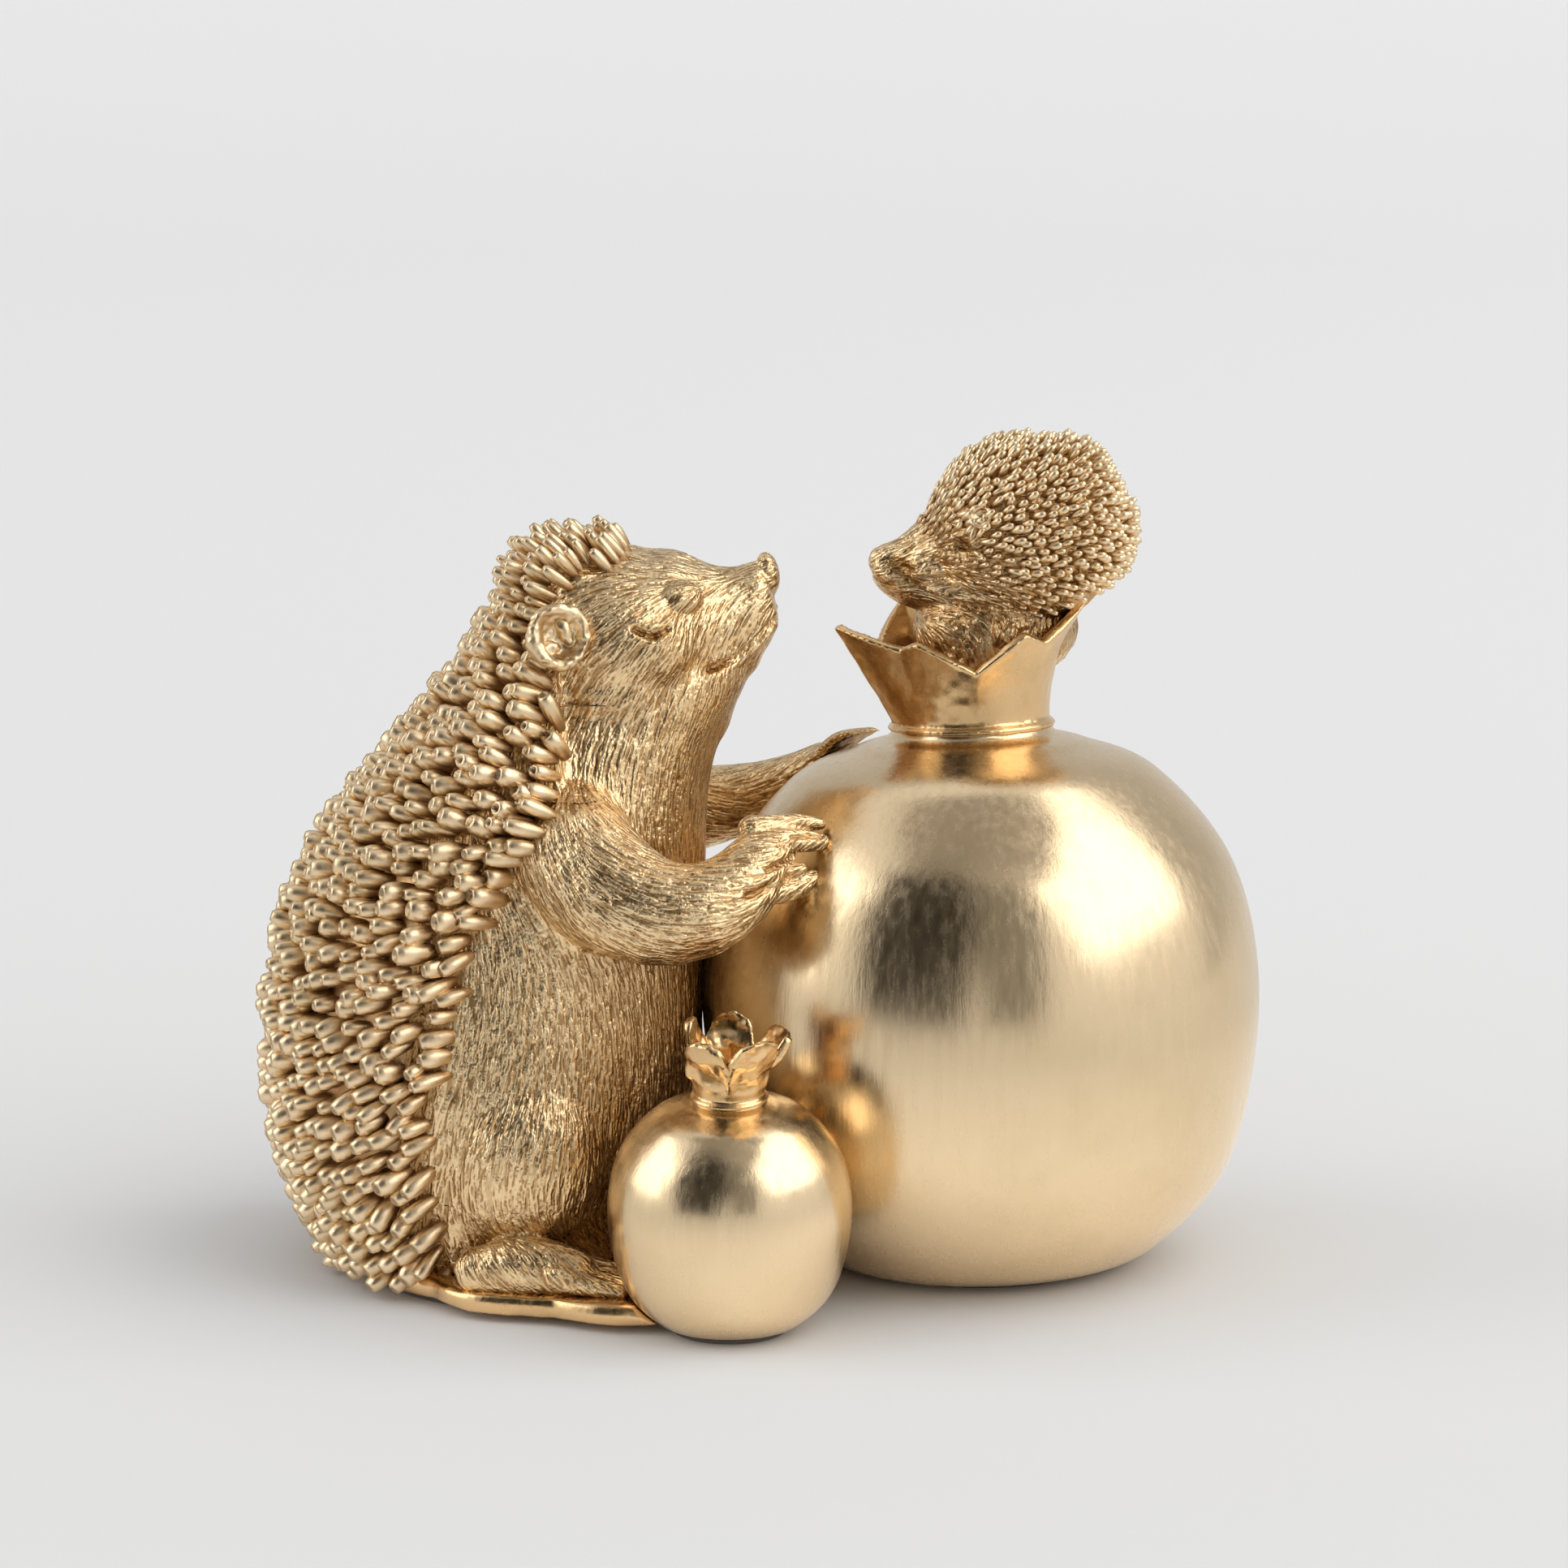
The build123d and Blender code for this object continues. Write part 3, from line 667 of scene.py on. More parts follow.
def coat_form(columns, rows):
    """The coat's skin as a closed egg of level ovals, flat ahead of the hairline."""
    points = []
    for rise, middle, depth, width in curve_through(coat_shares, rows):
        for angle in np.linspace(0.0, 2.0 * math.pi, columns, endpoint=False):
            points.append(
                (
                    body_middle + (middle + depth * math.cos(angle)) * body_half_depth,
                    width * math.sin(angle) * body_half_width,
                    ground_top + rise * body_height,
                )
            )
    faces = ring_faces(rows, columns) + end_faces(rows, columns)
    piece = outward(mesh_piece("coat_form", points, faces))
    skin = points_of(piece)
    behind = hairline_at(skin[:, 2]) - skin[:, 0]
    sunk = edge_sink * (1.0 - step(0.0, edge_run, behind))
    skin -= normals_of(piece) * sunk[:, None]
    skin[:, 0] = np.minimum(skin[:, 0], hairline_at(skin[:, 2]))
    skin[:, 2] = np.maximum(skin[:, 2], felt_thickness + 0.6)
    move_points(piece, skin)
    return piece


# Wax over the joints of her castings: middle, half sizes and lean in degrees
middle_wax = (
    ((-50.0, 0.0, 76.0), (12.5, 13.0, 14.0)),
    ((-39.2, 0.0, 78.0), (5.8, 8.0, 8.0)),
    ((-43.0, 0.0, 69.0), (6.4, 10.5, 9.0)),
    ((-46.9, 0.0, 38.5), (9.4, 13.0, 15.0)),
    ((-33.4, 0.0, 83.6), (3.6, 4.4, 3.2)),
)
side_wax = (
    ((-50.0, 8.0, 81.0), (9.5, 8.5, 9.5), (0.0, 20.0, 0.0)),
    ((-46.5, 9.8, 87.0), (8.0, 6.5, 7.0)),
    ((-55.0, 19.0, 60.0), (8.5, 9.0, 10.5)),
    ((-61.5, 24.0, 20.0), (11.6, 9.5, 13.0), (0.0, 8.0, 0.0)),
)
nose_and_chin = (
    ((-29.0, 0.0, 94.9), (1.6, 2.3, 3.0), (0.0, -10.0, 0.0)),
    ((-29.8, 0.0, 92.6), (1.8, 2.8, 3.6)),
    ((-30.2, 0.0, 86.4), (2.3, 2.7, 1.4), (0.0, -38.0, 0.0)),
)
# Limbs as paths of places and radii
near_arm_path = (
    (-54.5, -22.0, 60.5, 8.6), (-50.0, -26.0, 57.0, 8.2), (-44.5, -28.5, 54.8, 7.3),
    (-38.5, -29.0, 54.8, 6.5), (-33.0, -27.0, 57.4, 5.4), (-30.2, -24.4, 60.6, 4.3),
    (-28.4, -22.6, 61.6, 3.5),
)
near_fingers = (
    ((-31.0, -23.0, 64.6, 2.0), (-26.0, -20.6, 65.0, 1.3), (-22.0, -18.6, 64.4, 0.9)),
    ((-31.0, -25.0, 62.6, 2.2), (-26.0, -22.8, 63.0, 1.7), (-21.6, -20.4, 62.3, 1.3)),
    ((-32.0, -26.6, 60.2, 1.8), (-28.0, -25.4, 59.8, 1.3), (-24.4, -23.8, 59.4, 0.9)),
    ((-33.0, -27.4, 57.4, 2.0), (-27.5, -25.6, 56.6, 1.6), (-22.4, -22.0, 57.8, 1.3)),
)
foot_path = (
    (-67.5, 31.0, 6.4, 3.2), (-61.0, 32.0, 7.2, 4.1), (-54.0, 33.0, 6.4, 3.2),
)
toe_tips = (
    (-46.0, 35.0, 4.9), (-45.2, 32.8, 5.2), (-45.6, 30.6, 5.6),
    (-48.4, 36.4, 4.7),
)


def on_side(path, side):
    """The same path of places and radii on the near side, -1, or the far one, 1."""
    return tuple((x, side * y, z, radius) for x, y, z, radius in path)


def mother_wax():
    """The castings' plain forms, her coat's form and wax laid over their joints."""
    pieces = [node_copy(name) for name in ("mother_torso", "mother_head", "mother_far_arm")]
    pieces.append(coat_form(coat_columns, coat_rows))
    pieces += [ball(*lump) for lump in middle_wax]
    for lump in side_wax:
        pieces += both_sides(*lump)
    return pieces + limb(near_arm_path)


def mother_details():
    """Brows, nose, jaw, hand and feet, put on after the wax is smoothed."""
    pieces = both_sides((-42.0, 8.9, 92.9), (4.6, 3.3, 2.8), (0.0, -10.0, 0.0))
    pieces += [ball(*lump) for lump in nose_and_chin]
    for finger in near_fingers:
        pieces += limb(finger)
    for side in (-1.0, 1.0):
        pieces += limb(on_side(foot_path, side))
        for front, out, rise in toe_tips:
            toe = ((-57.0, out - 1.2, 6.6, 2.2), (front, out, rise, 1.1))
            pieces += limb(on_side(toe, side))
    return pieces


wax = fused("mother_wax", mother_wax(), wax_cell, 14)
coat_skin = twin(wax, "mother_coat_skin")
mother_body = fused("mother_body", [wax] + mother_details(), fur_cell, 3)
sliced(mother_body, (-75.0, 0.0, 55.0), (-1.0, 0.0, 0.10))


def carve(points, normals, path, width, height, side_share=0.25):
    """Draw a tool along a path on both cheeks, seen from the side."""
    gap = path_distance(points[:, [0, 2]], path)
    facing = step(side_share * 0.5, side_share, np.abs(normals[:, 1]))
    return np.exp(-((gap / width) ** 2)) * facing * height


body_points = points_of(mother_body)
body_normals = normals_of(mother_body)
hair = combed_way(body_points, body_normals, mother_comb_marks, 0.0)
mouth = curve_through([(-28.2, 89.0), (-30.3, 86.9), (-33.2, 84.6), (-36.6, 83.5)], 12)
eye_slit = curve_through([(-46.6, 90.3), (-45.2, 89.5), (-43.6, 89.3), (-42.2, 90.0)], 10)
# Lines of the tool on her face: path, width and height
face_lines = (
    (mouth, 0.42, -1.0),
    (mouth + np.array([0.3, 0.9]), 0.7, 0.35),
    (mouth + np.array([0.2, -0.9]), 0.7, 0.30),
    (eye_slit, 0.40, -0.9),
    (eye_slit + np.array([0.2, 1.0]), 0.6, 0.40),
    (eye_slit + np.array([-0.1, -0.9]), 0.5, 0.30),
)
# Lines between the fingers of her near hand
hand_lines = (
    (((-25.6, 63.9), (-21.6, 63.6)), 0.35, -0.7),
    (((-28.6, 60.6), (-25.0, 61.2), (-22.4, 60.6)), 0.45, -0.8),
    (((-31.2, 57.8), (-28.6, 58.2)), 0.75, -1.0),
)
x, y, z = body_points.T
head_share = step(78.0, 84.0, z)
near_hand = step(-14.0, -18.0, y)
relief = np.zeros(len(body_points))
for lines, share in ((face_lines, head_share), (hand_lines, near_hand)):
    for path, width, height in lines:
        relief += carve(body_points, body_normals, path, width, height) * share
coarse = streaks(body_points, hair, 0.75, 4.0, 41)
fine = streaks(body_points, hair, 0.42, 2.6, 42)
muzzle = step(-36.0, -30.0, x) * head_share
throat = step(-44.0, -38.0, x) * step(62.0, 70.0, z)
throat *= 1.0 - step(80.0, 84.0, z)
calm = 1.0 - 0.7 * np.maximum(muzzle, throat)
furrows = step(-0.3, 1.2, fine) * 0.15 + step(0.2, 1.6, coarse) * 0.08
furrows *= calm
relief -= furrows
moved = body_points + body_normals * relief[:, None]
forehead = np.exp(-(((x + 45.0) / 3.2) ** 2)) * step(93.0, 97.5, z)
moved[:, 2] -= forehead_drop * forehead
move_points(mother_body, moved)
# Painted shade: the fur is darkened in its furrows and carved lines, behind the coat's edge and on
# the throat
painted_shade = step(0.04, 0.30, furrows) + step(0.35, 0.9, -relief)
painted_shade += step(0.0, 1.2, hairline_at(z) - x)
painted_shade += 0.35 * throat
mark(mother_body, "painted_shade", np.clip(painted_shade, 0.0, 1.0))
mark_ways(mother_body, "comb", hair)
smooth(mother_body)


def shade_as_kept(piece):
    """Shade a slice as the uncut skin was."""
    layer = piece.data.attributes["skin_way"]
    ways = np.empty(len(piece.data.vertices) * 3, dtype=np.float32)
    layer.data.foreach_get("vector", ways)
    piece.data.attributes.remove(layer)
    piece.data.normals_split_custom_set_from_vertices(unit(ways.reshape(-1, 3)).tolist())


# Each slice of her body lies behind its planes: a place and the way that is cut off
foot_cut = (0.0, 0.0, 14.5)
elbow_cut = (0.0, 0.0, 45.3)
shoulder_cut = (0.0, 0.0, 68.5)
throat_cut = (0.0, 0.0, 80.0)
arm_cut = (-50.0, 0.0, 57.0)
up, down = (0.0, 0.0, 1.0), (0.0, 0.0, -1.0)
front, back = (1.0, 0.02, 0.03), (-1.0, -0.02, -0.03)
mother_cuts = (
    ((foot_cut, up),),
    ((elbow_cut, up), (foot_cut, down)),
    ((shoulder_cut, up), (elbow_cut, down), (arm_cut, front)),
    ((shoulder_cut, up), (elbow_cut, down), (arm_cut, back)),
    ((throat_cut, up), (shoulder_cut, down)),
    ((throat_cut, down),),
)


def cut_into(piece, cuts):
    """Slices of a piece, each closed and shaded as before, so that no mesh is too large."""
    mark_ways(piece, "skin_way", normals_of(piece))
    pieces = []
    for number, planes in enumerate(cuts):
        part = twin(piece, f"{piece.name}_{number + 1}")
        for place, normal in planes:
            sliced(part, place, normal)
        shade_as_kept(part)
        pieces.append(part)
    bpy.data.objects.remove(piece)
    return pieces


mother_slices = cut_into(mother_body, mother_cuts)


# Ears, a rolled rim round a bowl: distance from the middle and height, by the ear's radius
ear_outline = (
    (0.0, -0.62), (0.40, -0.60), (0.80, -0.32), (1.0, 0.0), (1.0, 0.22),
    (0.86, 0.34), (0.68, 0.22), (0.54, -0.04), (0.30, -0.18), (0.0, -0.20),
)


def ear_piece(title, place, facing, radius):
    """An ear with a fold and a lobe in its bowl, turned the way it faces."""
    outline = curve_through(ear_outline, 48) * radius
    outline[:, 0] = np.maximum(outline[:, 0], 0.0)
    outline[[0, -1], 0] = 0.0
    piece = lathe(title, outline, 48)
    fold = ball(
        (0.28 * radius, 0.1 * radius, -0.06 * radius),
        (0.20 * radius, 0.44 * radius, 0.20 * radius),
        (0.0, 0.0, 24.0),
    )
    lobe = ball(
        (-0.22 * radius, -0.34 * radius, -0.10 * radius),
        (0.30 * radius, 0.20 * radius, 0.16 * radius),
    )
    piece = fused(title, [piece, fold, lobe], 0.045 * radius, 2)
    turn = Vector(facing).to_track_quat("Z", "Y").to_matrix().to_4x4()
    posed(piece, Matrix.Translation(place) @ turn)
    points = points_of(piece)
    dents = soft_noise(points / (0.55 * radius), 50) * 0.08 * radius
    dents = dents + soft_noise(points / 0.6, 51) * 0.16
    raise_skin(piece, dents)
    # Painted shade in the ear's dents
    mark(piece, "painted_shade", step(0.0, 0.1, -dents) * 0.6)
    return smooth(piece)


# Ears by the casting they stand for: place, the way it faces and radius
ear_places = (
    ("mother_near_ear", (-56.8, -17.6, 89.6), (0.45, -1.0, 0.25), 4.4),
    ("mother_far_ear", (-56.8, 17.6, 89.6), (0.45, 1.0, 0.25), 4.4),
    ("young_near_ear", (-0.4, -4.6, 103.4), (-0.4, -1.0, 0.5), 1.6),
    ("young_far_ear", (-0.4, 17.6, 103.4), (-0.4, 1.0, 0.5), 1.6),
)
ears = {node: ear_piece(node + "_cup", *ear) for node, *ear in ear_places}


# Mother's coat of quills
def surface_samples(piece, count):
    """Places spread at random over a surface, with their outward directions."""
    mesh = piece.data
    mesh.calc_loop_triangles()
    corners = np.empty(len(mesh.loop_triangles) * 3, dtype=np.int32)
    mesh.loop_triangles.foreach_get("vertices", corners)
    corners = corners.reshape(-1, 3)
    points = points_of(piece)
    a, b, c = (points[corners[:, k]] for k in range(3))
    cross = np.cross(b - a, c - a)
    area = np.linalg.norm(cross, axis=1)
    chosen = rng.choice(len(area), size=count, p=area / area.sum())
    r1 = np.sqrt(rng.random(count))[:, None]
    r2 = rng.random(count)[:, None]
    places = (1 - r1) * a[chosen] + r1 * (1 - r2) * b[chosen] + r1 * r2 * c[chosen]
    return places, unit(normals_of(piece)[corners[chosen]].mean(axis=1))


def spread_out(places, out, ways, gaps_across, gaps_along):
    """Keep places no nearer than the quills' spacing across and along their way."""
    slide = laid_flat(ways, out)
    gaps_along = gaps_across + (gaps_along - gaps_across) * (ways * slide).sum(axis=1)
    kept = []
    kept_places = np.empty((len(places), 3))
    for index in range(len(places)):
        count = len(kept)
        if count:
            gap = kept_places[:count] - places[index]
            along = gap @ slide[index]
            far = (gap * gap).sum(axis=1) - along * along
            near = far / gaps_across[index] ** 2 + along * along / gaps_along[index] ** 2
            if near.min() < 1.0:
                continue
        kept_places[count] = places[index]
        kept.append(index)
    return np.array(kept)


def quill_form(sides, rings):
    """One plump quill, thin at its root, round at its tip, with a pit in the tip, and the painted
    shade at each of its points.
    """
    points = turned([(width, height) for height, width, _ in rings], sides)
    faces = ring_faces(len(rings), sides) + end_faces(len(rings), sides)
    return np.array(points), faces, np.repeat([depth for *_, depth in rings], sides)


# Rings of a quill: height, width and how much painted shade they carry, most at the root and in the
# pit of the mother's quill tips
mother_quill_rings = (
    (0.00, 0.60, 1.0), (0.32, 0.86, 0.6), (0.60, 1.00, 0.1),
    (0.82, 0.94, 0.0), (0.95, 0.74, 0.0), (1.00, 0.50, 0.3),
    (0.84, 0.32, 1.0),
)
young_quill_rings = (
    (0.00, 0.45, 0.4), (0.45, 0.95, 0.0), (0.80, 1.00, 0.0),
    (1.00, 0.50, 0.0),
)


def quill_pieces(title, places, aims, lengths, radii, sides, rings, batch):
    """Copies of a quill, each with its own size, turn and slight bend."""
    form, form_faces, form_painted_shade = quill_form(sides, rings)
    x, y, z = form.T
    pieces = []
    for start in range(0, len(places), batch):
        quills = range(start, min(start + batch, len(places)))
        points, faces = [], []
        for index in quills:
            aim, length, radius = aims[index], lengths[index], radii[index]
            across = np.cross(aim, (0.0, 0.0, 1.0) if abs(aim[2]) < 0.9 else (1.0, 0.0, 0.0))
            across /= np.linalg.norm(across)
            upward = np.cross(aim, across)
            # The last of the four draws is spare
            turn, bow, flat, _ = rng.random(4)
            turn = turn * 2.0 * math.pi
            bow = (bow - 0.5) * 0.16
            flat = 0.86 + 0.28 * flat
            wide = (x * math.cos(turn) - y * math.sin(turn)) * radius * flat + bow * length * (z * z)
            deep = (x * math.sin(turn) + y * math.cos(turn)) * radius / flat
            body = places[index] + np.outer(wide, across) + np.outer(deep, upward)
            body = body + np.outer(z * length, aim)
            body[:, 2] = np.maximum(body[:, 2], quill_floor)
            base = len(points) * len(form)
            points.append(body)
            faces += [tuple(base + corner for corner in face) for face in form_faces]
        piece = mesh_piece(f"{title}_{start // batch + 1}", np.vstack(points), faces)
        # Painted shade at each quill's root and in the pit of its tip
        mark(piece, "painted_shade", np.tile(form_painted_shade, len(quills)))
        with editing(piece):
            bpy.ops.mesh.normals_make_consistent(inside=False)
        pieces.append(smooth(piece))
    return pieces


places, out = surface_samples(coat_skin, sample_count)
rise = (places[:, 2] - ground_top) / body_height
inside = places[:, 0] < hairline_at(places[:, 2]) - 0.2
inside &= places[:, 2] > ground_top - 0.5
places, out, rise = places[inside], out[inside], rise[inside]
ways = np.stack([-np.ones(len(rise)), np.zeros(len(rise)), 1.5 * (rise - 0.55)], axis=1)
ways = unit(ways + rng.normal(0.0, quill_disorder, ways.shape))
on_head = step(0.84, 0.95, rise)
aims = unit(ways + out * (quill_lift * (1.0 - 0.35 * on_head))[:, None])
across_gap = quill_across * (1.0 - 0.38 * on_head)
along_gap = quill_along * (1.0 - 0.10 * on_head)
kept = spread_out(places, out, ways, across_gap, along_gap)
places, aims, on_head = places[kept], aims[kept], on_head[kept]
spread = rng.random(len(kept))
lengths = quill_length * (0.84 + 0.32 * spread) * (1.0 - 0.08 * on_head)
radii = quill_radius * (0.84 + 0.34 * rng.random(len(kept))) * (1.0 - 0.40 * on_head)
mother_quills = quill_pieces(
    "mother_quills", places - aims * quill_sink, aims, lengths, radii, 8, mother_quill_rings, 700
)
sliced(coat_skin, (-60.0, 0.0, 55.0), (1.0, 0.0, 0.0))
coat_count = len(coat_skin.data.vertices)
raise_skin(coat_skin, np.full(coat_count, -coat_skin_sink))
# Painted shade: the skin under the quills is darkened all over
mark(coat_skin, "painted_shade", np.ones(coat_count))
smooth(coat_skin)


# Young hedgehog
young_comb_marks = (
    ((-13.0, 0.0, 96.0), (1.0, 0.0, 0.1), 3.0),
    ((-8.0, 4.0, 98.0), (1.0, 0.0, 0.3), 4.0),
    ((-2.0, 9.0, 96.0), (1.0, 0.0, 0.1), 4.0),
    ((-4.0, 8.0, 90.0), (1.0, 0.0, -0.2), 4.0),
    ((2.0, 8.0, 83.0), (-0.1, 0.0, -1.0), 5.0),
)
# Lumps on the middle plane: along, up, half sizes and lean
young_middle_lumps = (
    (young_middle.x, young_middle.z, (young_skull_radius,) * 3, 0.0),
    (-1.0, 93.4, (9.5, 7.6, 5.6), 0.0),
    (0.0, 86.0, (9.4, 9.4, 7.6), 0.0),
    (3.6, 86.4, (9.6, 9.6, 7.2), 0.0),
    (-14.1, 95.9, (1.3, 1.9, 1.9), 0.0),
    (-11.8, 93.0, (2.6, 3.4, 1.9), 25.0),
)
# Eyelid, cheek, jaw and three fingers of each side: along, out, up, half sizes and lean
young_side_lumps = (
    (-1.0, 11.6, 99.9, (1.5, 1.0, 0.9), -30.0),
    (-7.4, 4.4, 94.6, (3.4, 2.2, 1.7), 25.0),
    (-2.6, 7.0, 92.5, (5.0, 2.0, 1.5), 6.0),
    (2.0, 10.0, 87.4, (0.85, 1.6, 2.1), 0.0),
    (3.5, 10.0, 86.9, (0.85, 1.6, 2.1), 14.0),
    (5.0, 10.0, 86.4, (0.85, 1.6, 2.1), 28.0),
)
young_forms = [node_copy(name) for name in ("young_head", "young_body")]
for along, up_to, half, lean in young_middle_lumps:
    young_forms.append(ball((along, young_middle.y, up_to), half, (0.0, lean, 0.0)))
for side in (-1.0, 1.0):
    for along, out, up_to, half, lean in young_side_lumps:
        place = (along, young_middle.y + side * out, up_to)
        young_forms.append(ball(place, half, (0.0, lean, 0.0)))
young_fur = fused("young_head_fur", young_forms, young_cell, 6)
places, out = surface_samples(young_fur, sample_count)
young_points = points_of(young_fur)
young_normals = normals_of(young_fur)
young_hair = combed_way(young_points, young_normals, young_comb_marks, young_middle.y)
young_fine = streaks(young_points, young_hair, 0.42, 1.6, 61)
young_coarse = streaks(young_points, young_hair, 0.8, 2.6, 62)
young_smile = curve_through(
    [(-10.6, 94.2), (-8.6, 92.6), (-5.5, 91.4), (-2.0, 90.9), (1.0, 90.9)], 16
)
# Smile, lip, nostril and eye: path, width, height and how far its sides face outwards
young_face_lines = (
    (young_smile, 0.32, -0.5, 0.25),
    (young_smile + np.array([0.2, 0.8]), 0.5, 0.25, 0.25),
    (((-12.0, 96.2), (-10.6, 95.3)), 1.2, -1.0, 0.1),
    (((-3.2, 99.1), (-2.5, 99.0)), 0.75, -1.1, 0.1),
)
young_relief = np.zeros(len(young_points))
for line in young_face_lines:
    young_relief += carve(young_points, young_normals, *line)
x, y, z = young_points.T
upward = young_normals[:, 2]
young_chin = step(92.4, 91.2, z) * step(4.0, 0.0, x) * step(87.5, 89.5, z) * step(0.2, -0.2, upward)
young_chest = step(91.5, 89.5, z) * step(-0.2, 0.2, upward)
young_calm = 1.0 - 0.8 * np.maximum(young_chin, step(-11.0, -13.5, x))
young_furrows = step(-0.1, 1.3, young_fine) * 0.2 + step(0.0, 1.5, young_coarse) * 0.14
young_furrows *= young_calm
young_relief -= young_furrows
young_moved = young_points + young_normals * young_relief[:, None]
young_moved[:, 2] -= 0.5 * step(-8.0, -12.0, x)
move_points(young_fur, young_moved)


def young_hairline_at(heights):
    """How far back the young one's quills begin at each height."""
    line = np.array(young_hairline)
    return np.interp(heights, line[:, 1], line[:, 0])


# Painted shade: the young one's fur is darkened in its furrows and carved lines, on its chest and
# under the edge of its quills
painted_shade_under_quills = step(-0.4, 0.6, x - young_hairline_at(z)) * (0.7 * step(83.0, 86.0, z))
young_painted_shade = step(0.03, 0.3, young_furrows) + step(0.2, 0.6, -young_relief) + 0.4 * young_chest
mark(young_fur, "painted_shade", np.clip(np.maximum(young_painted_shade, painted_shade_under_quills), 0.0, 1.0))
mark_ways(young_fur, "comb", young_hair)
smooth(young_fur)

x, y, z = places.T
inside = x > young_hairline_at(z)
inside &= z > young_quill_floor + young_quill_slope * np.maximum(x - 5.0, 0.0)
inside &= np.hypot(x - young_eye_place[0], z - young_eye_place[1]) > young_eye_clearing
places, out = places[inside], out[inside]
ways = unit(np.array(young_quill_way) + rng.normal(0.0, young_quill_disorder, places.shape))
aims = unit(ways + out * young_quill_lift)
across_gap = np.full(len(places), young_quill_across)
kept = spread_out(places, out, ways, across_gap, young_quill_along)
places, aims = places[kept], aims[kept]
growth = 0.5 + 0.5 * step(0.0, 9.0, places[:, 0] - young_hairline_at(places[:, 2]))
lengths = young_quill_length * (0.85 + 0.3 * rng.random(len(kept))) * growth
radii = young_quill_radius * (0.85 + 0.3 * rng.random(len(kept))) * growth
young_quills = quill_pieces(
    "young_quills", places - aims * young_quill_sink, aims, lengths, radii, 6, young_quill_rings, 1600
)


# Ground, its edge rubbed round
ground_forms = [
    node_copy("ground"),
    disc((-62.0, -23.0, 2.5), 12.4, 3.0),
    disc((-57.0, -23.6, 2.5), 12.8, 3.0),
    disc((-52.0, -24.0, 2.5), 13.0, 3.0),
    disc((-47.0, -24.0, 2.5), 13.0, 3.0),
]
ground_band = fused("ground_band", ground_forms, ground_cell, 26)
raise_skin(ground_band, soft_noise(points_of(ground_band) / 3.0, 71) * ground_dent_depth)
smooth(ground_band)


# Finishes
def shader_node(tree, kind, feeds=(), **settings):
    """A shader node with its settings, and a value or a link for each input."""
    node = tree.nodes.new("ShaderNode" + kind)
    for name, value in settings.items():
        setattr(node, name, value)
    feed(tree, node, feeds)
    return node


def feed(tree, node, feeds):
    """Set each input of a node, or link it where a socket is given."""
    for name, value in dict(feeds).items():
        if isinstance(value, bpy.types.NodeSocket):
            tree.links.new(value, node.inputs[name])
        else:
            node.inputs[name].default_value = value


def noise(tree, place, size, detail, roughness=0.5):
    feeds = {"Vector": place, "Scale": size, "Detail": detail, "Roughness": roughness}
    return shader_node(tree, "TexNoise", feeds).outputs["Fac"]


def ranged(tree, value, low, high, new_low=0.0, new_high=1.0):
    """A value carried from one range to another and held at its ends."""
    feeds = {
        "Value": value,
        "From Min": low,
        "From Max": high,
        "To Min": new_low,
        "To Max": new_high,
    }
    return shader_node(tree, "MapRange", feeds).outputs["Result"]


def mixed(tree, one, other, share, kind="RGBA"):
    feeds = {"A": one, "B": other, "Factor": share}
    return shader_node(tree, "Mix", feeds, data_type=kind).outputs["Result"]


def calculated(tree, one, other, operation):
    return shader_node(tree, "Math", {0: one, 1: other}, operation=operation).outputs["Value"]


def combed_lines(tree, place):
    """Noise drawn out along the combed way, one value for each point of the fur."""
    comb = shader_node(tree, "Attribute", attribute_name="comb").outputs["Vector"]
    total = None
    for number in range(hair_taps):
        shift = (number / (hair_taps - 1) - 0.5) * hair_length * mm
        feeds = {0: comb, 1: (shift, shift, shift), 2: place}
        moved = shader_node(tree, "VectorMath", feeds, operation="MULTIPLY_ADD")
        speck = noise(tree, moved.outputs["Vector"], 1.0 / (hair_width * mm), 0.0)
        total = speck if total is None else calculated(tree, total, speck, "ADD")
    return ranged(tree, total, 0.42 * hair_taps, 0.58 * hair_taps)


def new_finish(title):
    finish = bpy.data.materials.new(title)
    finish.use_nodes = True
    return finish, finish.node_tree, finish.node_tree.nodes["Principled BSDF"]


